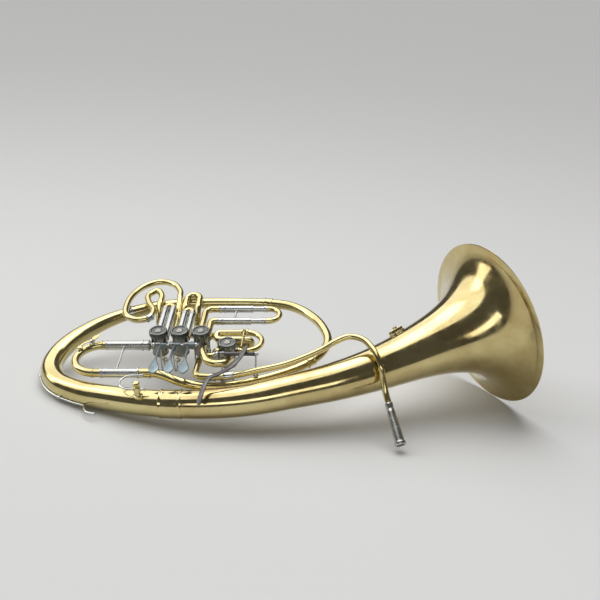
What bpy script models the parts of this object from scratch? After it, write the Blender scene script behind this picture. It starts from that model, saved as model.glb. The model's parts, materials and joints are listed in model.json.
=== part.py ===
"""Wagner tuba: a conical brass oval with four rotary valves, built in the plane of its bell axis.

Sizes are in millimetres and become metres when a mesh is made.  In the horn's own plane +X runs
from the left bow towards the bell, +Y away from the player's hand, +Z up from the valve caps.
The finished horn is then laid down on the three points that it really rests on.
"""
import math

import bmesh
import bpy
from mathutils import Matrix, Vector

MM = 0.001

# Fits
FIT = 0.3                      # clearance between any two pieces that touch
BRASS_WALL = 0.8               # wall of every drawn tube
SLIDE_WALL = 0.9               # wall of the nickel slide legs
SOLDER_LAP = 5.0               # depth that a ferrule covers on each side of a joint

# Bell
BELL_RADIUS = 119.5            # at the mouth, without the bead
BELL_FLARE = 0.58              # exponent of the flare
BELL_SHIFT = 20.2              # length that the flare formula adds at the mouth
BELL_WALL = 1.0
BELL_BEAD = 1.7                # radius of the wire rolled into the rim
BELL_SIDES = 30

# Conical branch: diameters at the joints, in the order of the air
RETURN_DIAMETER = 12.4
BOW_DIAMETER = 14.0
TOP_DIAMETER = 18.5
LEFT_DIAMETER = 30.0

# Centre lines of the branch, each from joint to joint
MAIN_LEG_HEIGHT = 16.0         # height of the valve ports and the main slide over the bell's plane
RETURN_ROUTE = [(-187, -210, 16), (-181, -210.5, 16), (-168, -215, 15), (-145, -225, 12), (-116, -228, 7),
                (-88, -221, 2), (-53, -208, 0), (-1, -182, 0), (25, -160, 0)]
RIGHT_ROUTE = [(25, -160, 0), (41, -136, 0), (47, -108, 0), (36, -70, 0), (14, -38, 0),
               (-14, -17, 0), (-46, -10, 0)]
TOP_ROUTE = [(-46, -10, 0), (-104, -8, 0), (-164, -10, 0), (-212, -19, 0), (-251, -36, 0)]
# The bottom bow dips, so that the main slide draws out over it.
LEFT_ROUTE = [(-251, -36, 0), (-288, -61, -2), (-322, -99, -5.2), (-338, -136, -7.6), (-338, -170, -8.2),
              (-320, -201, -7.9), (-284, -224.5, -6.4), (-239, -240.5, -3.4), (-196, -252.3, -1), (-153, -258, 0)]
BELL_ROUTE = [(-153, -258, 0), (-100, -257, 0), (-49, -248, 0), (5, -229, 0), (62, -206, 0),
              (120, -174, 0), (197, -119, 0), (274, -63, 0)]
BOW_SLEEVE = 30.0              # length of the band between the two rings at the bell's joint

# Guard wire on the outside of the bottom bow
GUARD_WIRE = 1.5
GUARD_SPAN = (0.17, 0.69)      # shares of the bow's length
GUARD_TILT = math.radians(16)  # below the plane of the bow
GUARD_CURL = [(6, 8, 1), (14, 14, 2), (27, 16, 3)]  # free end: along the bow, outward, up

# Mouthpipe
LEADPIPE_DIAMETER = 8.6
LEADPIPE_ROUTE = [(-97, -222, 18), (-71, -219, 19), (-42, -212, 22), (-2, -203, 27), (40, -184, 34.5),
                  (62, -171, 41), (81, -164, 44.5), (100, -171, 44), (115.5, -190, 37), (123.5, -206, 25),
                  (126.5, -214, 8), (130.5, -224, -8), (136, -240, -20)]
INLET_CORNER = (-126.0, -220.0, 18.0)  # first corner of the loop into the fourth valve
INLET_BEND = 11.0
CROSS_ROUTE = [(-119, -180, 28), (-111, -198, 28), (-99, -205, 28), (-87, -201, 27)]  # third valve to fourth
RECEIVER_LENGTH = 52.0
RECEIVER_DIAMETER = 14.0
RECEIVER_BORE = 10.5

# Rotary valves
VALVE_PITCH = 30.0
VALVE_1 = (-187.0, -138.0)     # axis of the first valve in the plane
VALVE_4 = (-88.0, -158.0)
CASING_RADIUS = 11.6
CASING_HEIGHT = 34.0
CASING_WALL = 2.0
CASING_FLOOR = 3.0
VALVE_4_DROP = 6.0             # the fourth casing sits lower
PORT_DIAMETER = 10.0
PORT_OFFSET = 5.6              # from the valve axis to the axis of each port
STUB = 3.0                     # length of a port's stub outside the casing
LUG_RADIUS = 3.4
LUG_THICKNESS = 2.6
LUG_FOOT_BACK = 9.0            # foot of a finger lug, from the valve axis towards the levers
THUMB_LUG_BACK = 1.5
LUG_FOOT_RISE = 25.0           # foot of a lug over the casing's underside
LUG_WIDTHS = (4.6, 6.0)
ROTOR_SIDES = 16
SCOOP_DEPTH = 5.6
SPINDLE_RADIUS = 2.0
BEARING_THICKNESS = 2.4
CAP_HEIGHT = 7.0
CAP_OVERHANG = 1.2
STOP_ARM_THICKNESS = 2.2
STOP_ARM_RADIUS = 7.0          # from the spindle to the pin
PIN_RADIUS = 1.1
ROTOR_TURN = math.radians(90)

# Finger levers
HINGE_Y = -163.0
HINGE_Z = 30.0
ROD_RADIUS = 1.5
BARREL_RADIUS = 3.1
BARREL_LENGTH = 16.0
LEVER_LEAD = 7.0               # first lever, to the right of its valve
LEVER_CLOSE = 10.0             # each next lever comes closer to the last than the valves do
LEVER_LENGTH = 84.0            # from the hinge to the end of the touch piece
TOUCH_WIDTH = 13.0
LEVER_LEAN = 4.5               # sideways lean of a touch piece
LEVER_ARCH = 13.0              # rise of a touch piece over the hinge
TOUCH_LENGTH = 34.0
TOUCH_THICKNESS = 1.6
STEM_WIDTH = 3.4
LINK_Z = -9.0                  # height of the links under the valves
LINK_EYE = 4.3                 # outer radius of the eye that goes round the stop arm's pin

# Thumb lever of the fourth valve
THUMB_HINGE = (-72.0, -186.0, 31.0)
THUMB_BARREL = 50.0
THUMB_FOOT_Y = -203.0
THUMB_FOOT_GAP = 1.4           # foot over the return tube, which falls away under it
LUG_FOOT_RADIUS = 4.0
THUMB_LINK_Z = -15.0
THUMB_ARM_RADIUS = 6.0
THUMB_WIDTH = 6.4
THUMB_THICKNESS = 1.8
THUMB_ROUTE = [(-58, -181, 40), (-61, -195, 40), (-68, -217, 40), (-77.5, -232, 39), (-89.5, -242.5, 38),
               (-100.5, -250, 37), (-104.5, -264, 36), (-106.5, -280, 35), (-107.5, -291, 33.5), (-108.2, -299, 30)]

# Main tuning slide
MAIN_LOWER_Y = -210.0
MAIN_BOW_X = -265.0            # where the round bow starts
MAIN_LEG_DIAMETER = 11.6
MAIN_SLEEVE_DIAMETER = 14.0
MAIN_UPPER_START = -263.0      # open ends of the two sleeves
MAIN_LOWER_START = -257.0
MAIN_STAY_SETBACK = 27.0       # stay, from the open end of the upper sleeve
STAY_RADIUS = 1.3
STAY_SINK = 1.0                # depth that a stay's end goes into a sleeve
RING_RISE = 0.8                # ring at the root of a sleeve

# Water key, on the bow of the main slide
KEY_PAD_ANGLE = math.radians(152)
KEY_PIVOT_ANGLE = math.radians(118)
KEY_RISE = 4.6                 # hinge over the top of the tube
KEY_PAD_RADIUS = 4.0
NIPPLE_HEIGHT = 1.8

# Finger hook and its socket on the bottom bow
HOOK_HEIGHT = 27.0
HOOK_WIRE = 1.3
HOOK_Y = -262.0
HOOK_SPAN = 31.0               # from the fixed leg to the free one
HOOK_LEGS = (8.0, 11.0)        # fixed leg, to the right and to the left of the socket
HOOK_FREE_END = 3.0            # end of the free leg, to the right of the socket
SOCKET_X = -195.5
SOCKET_RADIUS = 4.4
THUMBSCREW_RADIUS = 4.6

# Lyre holder on the bell's throat
HOLDER_BACK = 143.0            # distance back from the mouth
HOLDER_TURN = math.radians(42) # round from the top of the bell
HOLDER_SPREAD = math.radians(15)

# Mouthpipe fittings
FERRULE_X = -80.0
BRACE_X = -88.0
MOUTHPIPE_FERRULE_LENGTH = 9.0

# Valve slides
SLIDE_DIAMETER = 8.4
SLEEVE_DIAMETER = 10.8
SLIDE_BOW_GAP = 6.0            # brass that shows between the sleeves and the bow
SLIDE_1_END = -36.0
SLIDE_2_END = -48.0
SLIDE_3_UPPER_Y = -50.0
SLIDE_3_LOWER_Y = -82.0
SLIDE_3_START = -112.0
SLIDE_3_SLEEVE = -64.0         # open end of the sleeves
SLIDE_3_END = -20.0            # outermost point of the bow
SLIDE_4_UPPER_Y = -106.0
SLIDE_4_SLEEVE = -70.0
SLIDE_4_END = -40.0

# Long loop of the fourth valve
LOOP_DIAMETER = 9.4
LOOP_BEND = 8.5
COIL_HEIGHT = 17.0
LOOP_CLIMB = [(-110.5, -106, 12), (-110.5, -119, 9), (-60, -119, 9), (-60, -119, -2), (-106, -118, -2),
              (-109, -96, -1), (-175, -96, 3), (-176, -44, 3), (-176, -20, 17)]
COIL_PLAN = [(-178, -3), (-190, 17), (-211, 25), (-233, 14), (-247, -9), (-252, -38), (-248, -66), (-230, -80),
             (-213, -74), (-210, -54), (-220, -34), (-224, -14), (-213, 0), (-204, -14)]
COIL_END = (-203.5, -34, 16)
LOOP_DROP = [(-203.5, -62, -9), (-166, -62, -9), (-166, -36, 12), (-166, -8, 14), (-147, -8, 14), (-147, -36, 12),
             (-147, -62, -9), (-147, -84, -9), (-107, -84, -9)]

BRASS = ("lacquered_brass", (0.80, 0.55, 0.20), 0.22, 1.0)
NICKEL = ("nickel_silver", (0.66, 0.65, 0.60), 0.25, 1.0)
STEEL = ("spring_steel", (0.42, 0.42, 0.44), 0.35, 1.0)


def clear_scene():
    """Remove whatever the scene holds."""
    for thing in list(bpy.data.objects):
        bpy.data.objects.remove(thing, do_unlink=True)


def material(spec):
    """Return the material of a finish, made once."""
    name, colour, roughness, metallic = spec
    found = bpy.data.materials.get(name)
    if found:
        return found
    made = bpy.data.materials.new(name)
    made.use_nodes = True
    shader = made.node_tree.nodes["Principled BSDF"]
    shader.inputs["Base Color"].default_value = (*colour, 1.0)
    shader.inputs["Roughness"].default_value = roughness
    shader.inputs["Metallic"].default_value = metallic
    made.diffuse_color = (*colour, 1.0)
    return made


class Horn:
    """Collects the pieces under one empty, the plane of the bell axis."""

    def __init__(self):
        self.plane = bpy.data.objects.new("horn_plane", None)
        bpy.context.collection.objects.link(self.plane)
        self.pieces = {}

    def add(self, name, bm, finish, origin=(0, 0, 0), smooth=35):
        """Turn a bmesh in millimetres of the plane into a named object with its own origin."""
        bmesh.ops.recalc_face_normals(bm, faces=bm.faces)
        bmesh.ops.translate(bm, verts=bm.verts, vec=-Vector(origin))
        bmesh.ops.scale(bm, verts=bm.verts, vec=(MM, MM, MM))
        mesh = bpy.data.meshes.new(name)
        bm.to_mesh(mesh)
        bm.free()
        mesh.shade_smooth()
        mesh.set_sharp_from_angle(angle=math.radians(smooth))
        mesh.materials.append(material(finish))
        thing = bpy.data.objects.new(name, mesh)
        bpy.context.collection.objects.link(thing)
        thing.parent = self.plane
        thing.location = Vector(origin) * MM
        self.pieces[name] = thing
        return thing


def spline(points, step):
    """Sample a centripetal Catmull-Rom curve through the points, about every step millimetres."""
    pts = [Vector(p) for p in points]
    pts = [2 * pts[0] - pts[1]] + pts + [2 * pts[-1] - pts[-2]]
    out = []
    for a, b, c, d in zip(pts, pts[1:], pts[2:], pts[3:]):
        count = max(1, round((c - b).length / step))
        t1 = (b - a).length ** 0.5
        t2 = t1 + (c - b).length ** 0.5
        t3 = t2 + (d - c).length ** 0.5
        for k in range(count):
            t = t1 + (t2 - t1) * k / count
            p = a + (b - a) * (t / t1)
            q = b + (c - b) * ((t - t1) / (t2 - t1))
            r = c + (d - c) * ((t - t2) / (t3 - t2))
            u = p + (q - p) * (t / t2)
            v = q + (r - q) * ((t - t1) / (t3 - t1))
            out.append(u + (v - u) * ((t - t1) / (t2 - t1)))
    out.append(pts[-2])
    return out


def bent(corners, radius, turn=31):
    """Straight runs between the corners, joined by arcs of one bend radius, every turn degrees."""
    pts = [Vector(p) for p in corners]
    out = [pts[0]]
    for before, corner, after in zip(pts, pts[1:], pts[2:]):
        a = (before - corner).normalized()
        b = (after - corner).normalized()
        half = a.angle(b) / 2
        back = min(radius / math.tan(half), 0.49 * (before - corner).length, 0.49 * (after - corner).length)
        bend = back * math.tan(half)
        centre = corner + (a + b).normalized() * (bend / math.sin(half))
        start, end = corner + a * back, corner + b * back
        swing = math.pi - 2 * half
        count = max(1, math.ceil(math.degrees(swing) / turn))
        u, w = start - centre, end - centre
        for k in range(count + 1):
            f = k / count
            mix = (u * math.sin((1 - f) * swing) + w * math.sin(f * swing)) / math.sin(swing)
            out.append(centre + mix)
    out.append(pts[-1])
    return out


def lengths(points):
    """Distance of each point along the line."""
    out = [0.0]
    for a, b in zip(points, points[1:]):
        out.append(out[-1] + (b - a).length)
    return out


def frames(points, ends=(None, None)):
    """Axis and two cross directions at each point, carried along without twist."""
    tangents = []
    for k in range(len(points)):
        a = points[max(0, k - 1)]
        b = points[min(len(points) - 1, k + 1)]
        tangents.append((b - a).normalized())
    for k, way in zip((0, -1), ends):
        if way is not None:
            tangents[k] = Vector(way).normalized()
    up = Vector((0, 0, 1))
    if abs(tangents[0].z) > 0.9:
        up = Vector((0, 1, 0))
    side = tangents[0].cross(up).normalized()
    out = []
    for k, tangent in enumerate(tangents):
        if k:
            side = (side - tangent * side.dot(tangent)).normalized()
        out.append((tangent, side, side.cross(tangent)))
    return out


def ring(bm, centre, frame, radius, sides):
    """Add one ring of vertices."""
    _, side, up = frame
    out = []
    for k in range(sides):
        angle = 2 * math.pi * (k + 0.5) / sides
        out.append(bm.verts.new(centre + side * (radius * math.cos(angle)) + up * (radius * math.sin(angle))))
    return out


def skin(bm, first, second):
    """Faces between two rings of as many vertices."""
    n = len(first)
    for k in range(n):
        bm.faces.new((first[k], first[(k + 1) % n], second[(k + 1) % n], second[k]))


def annulus(bm, outer, inner):
    """Close the end of a wall between an outer ring and an inner one, equal or half as fine."""
    n, m = len(outer), len(inner)
    if n == m:
        skin(bm, outer, inner)
        return
    for k in range(m):
        a, b, c = outer[2 * k], outer[(2 * k + 1) % n], outer[(2 * k + 2) % n]
        p, q = inner[k], inner[(k + 1) % m]
        bm.faces.new((a, b, p))
        bm.faces.new((b, q, p))
        bm.faces.new((b, c, q))


def sweep(bm, points, radii, sides, wall=0.0, bore_radii=None, fine_bore=False, ends=(None, None)):
    """A round bar along the points, or a tube with the given wall, open at both ends."""
    if not hasattr(radii, "__len__"):
        radii = [radii] * len(points)
    cross = frames(points, ends)
    outer = [ring(bm, p, f, r, sides) for p, f, r in zip(points, cross, radii)]
    for a, b in zip(outer, outer[1:]):
        skin(bm, a, b)
    if not wall and bore_radii is None:
        bm.faces.new(outer[0])
        bm.faces.new(outer[-1])
        return bm
    if bore_radii is None:
        bore_radii = [r - wall for r in radii]
    count = sides if fine_bore else sides // 2
    inner = []
    for p, f, r in zip(points, cross, bore_radii):
        loop = ring(bm, p, f, r, count)
        if not fine_bore:
            turn = Matrix.Rotation(-math.pi / count + math.pi / sides, 3, f[0])
            for v in loop:
                v.co = p + turn @ (v.co - p)
        inner.append(loop)
    for a, b in zip(inner, inner[1:]):
        skin(bm, a, b)
    annulus(bm, outer[0], inner[0])
    annulus(bm, outer[-1], inner[-1])
    return bm


def tube(points, radii, sides=10, wall=BRASS_WALL, **more):
    """A new bmesh holding one swept tube."""
    return sweep(bmesh.new(), points, radii, sides, wall, **more)


def collar(bm, centre, axis, profile, sides=16, phase=0.5):
    """Turn a closed profile of (distance along the axis, radius) about an axis."""
    axis = Vector(axis).normalized()
    up = Vector((0, 0, 1)) if abs(axis.z) < 0.9 else Vector((0, 1, 0))
    side = axis.cross(up).normalized()
    up = side.cross(axis)
    centre = Vector(centre)
    loops = []
    for along, radius in profile:
        loop = []
        if radius == 0:
            loop = [bm.verts.new(centre + axis * along)] * sides
        else:
            for k in range(sides):
                angle = 2 * math.pi * (k + phase) / sides
                spoke = side * math.cos(angle) + up * math.sin(angle)
                loop.append(bm.verts.new(centre + axis * along + spoke * radius))
        loops.append(loop)
    pairs = list(zip(loops, loops[1:]))
    if profile[0][1] and profile[-1][1]:
        pairs.append((loops[-1], loops[0]))
    for a, b in pairs:
        for k in range(sides):
            j = (k + 1) % sides
            corners = list(dict.fromkeys((a[k], a[j], b[j], b[k])))
            if len(corners) > 2:
                bm.faces.new(corners)
    return bm


def band(bm, centre, axis, bore, length, thickness=1.0, sides=14):
    """A ferrule with a rounded bead at each end, whose flats clear a tube of the given radius."""
    h = length / 2
    low = (bore + FIT) / math.cos(math.pi / sides)
    high = low + thickness
    bead = high + 0.7
    profile = [(-h, low), (-h, bead), (-h + 1.6, bead), (-h + 2.2, high),
               (h - 2.2, high), (h - 1.6, bead), (h, bead), (h, low)]
    return collar(bm, centre, axis, profile, sides)


def prism(bm, outline, low, high):
    """Extrude a flat outline of (x, y) from one height to another."""
    bottom = [bm.verts.new((x, y, low)) for x, y in outline]
    top = [bm.verts.new((x, y, high)) for x, y in outline]
    bm.faces.new(bottom)
    bm.faces.new(top)
    skin(bm, bottom, top)
    return bm


def strip(bm, points, widths, thickness, level=Vector((0, 0, 1))):
    """A flat bar that follows the points, with its faces level."""
    rings = []
    for k, p in enumerate(points):
        a = points[max(0, k - 1)]
        b = points[min(len(points) - 1, k + 1)]
        tangent = (b - a).normalized()
        side = tangent.cross(level).normalized() * (widths[k] / 2)
        up = side.cross(tangent).normalized() * (thickness / 2)
        rings.append([bm.verts.new(p + s * side + u * up) for s, u in ((1, 1), (1, -1), (-1, -1), (-1, 1))])
    for a, b in zip(rings, rings[1:]):
        skin(bm, a, b)
    bm.faces.new(rings[0])
    bm.faces.new(rings[-1])
    return bm


def cut_and_join(base, joins=(), cuts=()):
    """Boolean a base bmesh with others and return the result as a bmesh."""
    def to_object(bm, name):
        bmesh.ops.recalc_face_normals(bm, faces=bm.faces)
        mesh = bpy.data.meshes.new(name)
        bm.to_mesh(mesh)
        bm.free()
        thing = bpy.data.objects.new(name, mesh)
        bpy.context.collection.objects.link(thing)
        return thing

    body = to_object(base, "work")
    for kind, tools in (("UNION", joins), ("DIFFERENCE", cuts)):
        for tool in tools:
            other = to_object(tool, "tool")
            step = body.modifiers.new(kind, "BOOLEAN")
            step.operation = kind
            step.object = other
            step.solver = "EXACT"
            depsgraph = bpy.context.evaluated_depsgraph_get()
            mesh = bpy.data.meshes.new_from_object(body.evaluated_get(depsgraph))
            body.modifiers.clear()
            body.data = mesh
            bpy.data.objects.remove(other, do_unlink=True)
    out = bmesh.new()
    out.from_mesh(body.data)
    bpy.data.objects.remove(body, do_unlink=True)
    bmesh.ops.remove_doubles(out, verts=out.verts, dist=0.001)
    bmesh.ops.dissolve_limit(out, angle_limit=math.radians(0.5), verts=out.verts, edges=out.edges)
    return out


def rod_between(bm, a, b, radius, sides=8):
    """A straight round bar."""
    return sweep(bm, [Vector(a), Vector(b)], radius, sides)


def bell_outer(distance):
    """Outer radius of the bell at a distance back from the mouth."""
    scale = BELL_RADIUS * BELL_SHIFT ** BELL_FLARE
    radius = scale / (distance + BELL_SHIFT) ** BELL_FLARE
    if distance < 2 * BELL_BEAD:
        radius += BELL_BEAD * math.sqrt(max(0.0, 1 - (distance / BELL_BEAD - 1) ** 2))
    return radius


def bell_bore(distance):
    """Inner radius of the bell at a distance back from the mouth."""
    scale = BELL_RADIUS * BELL_SHIFT ** BELL_FLARE
    return scale / (distance + BELL_WALL + BELL_SHIFT) ** BELL_FLARE - BELL_WALL


def trim(points, start, end):
    """Shorten a line at its two ends."""
    points = list(points)
    points[0] = points[0] + (points[1] - points[0]).normalized() * start
    points[-1] = points[-1] + (points[-2] - points[-1]).normalized() * end
    return points


def at_length(points, distance):
    """Point and direction at a distance along a line."""
    for a, b in zip(points, points[1:]):
        if distance <= (b - a).length:
            return a + (b - a).normalized() * distance, (b - a).normalized()
        distance -= (b - a).length
    return points[-1], (points[-1] - points[-2]).normalized()


def resample(points, distances):
    """Points of a line at the given distances."""
    return [at_length(points, d)[0] for d in distances]


def routes():
    """The branch's centre line in pieces, cut at its joints, each with the directions of its two ends."""
    parts = [RETURN_ROUTE, RIGHT_ROUTE, TOP_ROUTE, LEFT_ROUTE, BELL_ROUTE]
    stations = list(parts[0])
    for part in parts[1:]:
        stations += part[1:]
    fine = spline(stations, 4.0)
    cuts = [0]
    for part in parts:
        end = Vector(part[-1])
        cuts.append(min(range(len(fine)), key=lambda k: (fine[k] - end).length))
    ways = [(fine[min(k + 1, len(fine) - 1)] - fine[max(k - 1, 0)]).normalized() for k in cuts]
    ways[0] = Vector((1, 0, 0))
    return [fine[a:b + 1] for a, b in zip(cuts, cuts[1:])], list(zip(ways, ways[1:]))


def build_branch(horn):
    """Bell, bows, branches and the ferrules over their joints."""
    (back, right, top, left, bell), ways = routes()

    total = lengths(bell)[-1]
    # Rings crowd towards the mouth, where the flare opens fastest.
    rings = 15
    marks = [total - 2 * BELL_BEAD - (total - 2 * BELL_BEAD) * (1 - k / rings) ** 2.2 for k in range(rings + 1)]
    marks += [total - BELL_BEAD, total]
    marks[0] = FIT
    points = resample(bell, marks)
    outer = [bell_outer(total - m) for m in marks]
    bore = [bell_bore(total - m) for m in marks]
    horn.add("bell", tube(points, outer, BELL_SIDES, bore_radii=bore, fine_bore=True, ends=ways[4]), BRASS)

    joint_radius = bell_outer(total)
    sections = (
        ("return_tube", back, RETURN_DIAMETER / 2, RETURN_DIAMETER / 2, 17, 10),
        ("right_bow", right, RETURN_DIAMETER / 2, BOW_DIAMETER / 2, 16, 10),
        ("top_branch", top, BOW_DIAMETER / 2, TOP_DIAMETER / 2, 30, 12),
        ("bottom_bow", left, TOP_DIAMETER / 2, joint_radius, 32, 16),
    )
    for (name, line, start, end, step, sides), ends in zip(sections, ways):
        length = lengths(line)[-1]
        count = max(2, round(length / step))
        marks = [length * k / count for k in range(count + 1)]
        points = trim(resample(line, marks), FIT, FIT)
        radii = [branch_radius(name, start, end, m / length) for m in marks]
        bores = [r - BRASS_WALL for r in radii]
        horn.add(name, tube(points, radii, sides, bore_radii=bores, ends=ends), BRASS)

    joint = band(bmesh.new(), top[-1], top[-1] - top[-3], TOP_DIAMETER / 2 + 0.4, 2 * SOLDER_LAP, sides=14)
    horn.add("branch_ferrule", joint, NICKEL)

    sleeve = band(bmesh.new(), bell[0], bell[1] - left[-2], joint_radius + 1.5, BOW_SLEEVE, 0.8, 20)
    horn.add("bell_ferrule", sleeve, BRASS)
    return back, left, bell


def branch_radius(name, start, end, share):
    """Taper of a branch: quick growth through the bottom bow, slow growth elsewhere."""
    if name != "bottom_bow":
        return start + (end - start) * share
    middle = LEFT_DIAMETER / 2
    if share < 0.4:
        return start + (middle - start) * share / 0.4
    return middle + (end - middle) * (share - 0.4) / 0.6


def build_guard(horn, left, joint_radius):
    """Guard wire along the outside of the bottom bow, with its free curl on the front."""
    length = lengths(left)[-1]
    count = 15
    first, last = GUARD_SPAN
    points = []
    for k in range(count + 1):
        share = first + (last - first) * k / count
        p, axis = at_length(left, share * length)
        outward = axis.cross(Vector((0, 0, 1))).normalized()
        radius = branch_radius("bottom_bow", TOP_DIAMETER / 2, joint_radius, share)
        lean = outward * math.cos(GUARD_TILT) - Vector((0, 0, math.sin(GUARD_TILT)))
        points.append(p + lean * (radius + GUARD_WIRE + 2 * FIT))
    p = points[-1]
    axis = (points[-1] - points[-2]).normalized()
    outward = axis.cross(Vector((0, 0, 1))).normalized()
    points += [p + axis * along + outward * out + Vector((0, 0, rise)) for along, out, rise in GUARD_CURL]
    horn.add("guard_wire", tube(points, GUARD_WIRE, 6, 0.0), NICKEL)


def valve_axis(index):
    """Axis of a valve in the plane, and the height of its casing's underside."""
    if index == 4:
        return VALVE_4[0], VALVE_4[1], -VALVE_4_DROP
    return VALVE_1[0] + VALVE_PITCH * (index - 1), VALVE_1[1], 0.0


def lever_x(index):
    """Middle of a finger lever's barrel."""
    return valve_axis(index)[0] + LEVER_LEAD - LEVER_CLOSE * (index - 1)


def port_edge():
    """Distance from a valve's axis to where a port leaves the casing."""
    return math.sqrt(CASING_RADIUS ** 2 - PORT_OFFSET ** 2)


def port_directions(index):
    """Ports of each valve: (offset x, offset y, direction x, direction y, length of the stub)."""
    o = PORT_OFFSET
    knuckle = VALVE_PITCH - 2 * port_edge() - STUB
    rear = [(-o, 0, 0, 1, STUB), (o, 0, 0, 1, STUB)]
    if index in (1, 2):
        return [(0, -o, -1, 0, STUB), (0, -o, 1, 0, knuckle)] + rear
    if index == 3:
        return [(0, -o, -1, 0, STUB), (o, 0, 0, -1, STUB)] + rear
    return [(0, -o, -1, 0, STUB), (o, 0, 0, -1, STUB), (0, o, -1, 0, STUB), (0, o, 1, 0, STUB)]


def hinge_lug(pivot, foot_y, foot_z):
    """An arm with an eye for a hinge rod, as bodies to be joined to what carries it."""
    pivot = Vector(pivot)
    half = LUG_THICKNESS / 2
    eye = collar(bmesh.new(), pivot, (1, 0, 0), [(-half, ROD_RADIUS + FIT), (-half, LUG_RADIUS), (half, LUG_RADIUS),
                                                 (half, ROD_RADIUS + FIT)], 12)
    foot = Vector((pivot.x, foot_y, foot_z))
    along = (foot - pivot).normalized()
    arm = strip(bmesh.new(), [pivot + along * (0.7 * LUG_RADIUS), foot], LUG_WIDTHS, 0.85 * LUG_THICKNESS,
                Vector((1, 0, 0)))
    return [eye, arm]


def rear_sleeves(index):
    """The pair of nickel sleeves behind valves 1 and 2, with the bores that the slide runs in."""
    x, y, _ = valve_axis(index)
    end = SLIDE_1_END if index == 1 else SLIDE_2_END
    joins, cuts = [], []
    start = y + port_edge() + STUB - 1.0
    stop = end - PORT_OFFSET - SLIDE_DIAMETER / 2 - SLIDE_BOW_GAP
    for side in (-1, 1):
        way = [Vector((x + side * PORT_OFFSET, start, port_height(index))),
               Vector((x + side * PORT_OFFSET, stop, port_height(index)))]
        joins.append(sweep(bmesh.new(), way, SLEEVE_DIAMETER / 2, 10))
        cuts.append(sweep(bmesh.new(), [way[0] + Vector((0, 1.8, 0)), way[1] + Vector((0, 3, 0))],
                          SLIDE_DIAMETER / 2 + FIT, 10))
    return joins, cuts


def port_height(index):
    """Height of the ports over the bell's plane."""
    return valve_axis(index)[2] + MAIN_LEG_HEIGHT + (2.0 if index == 4 else 0.0)


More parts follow.
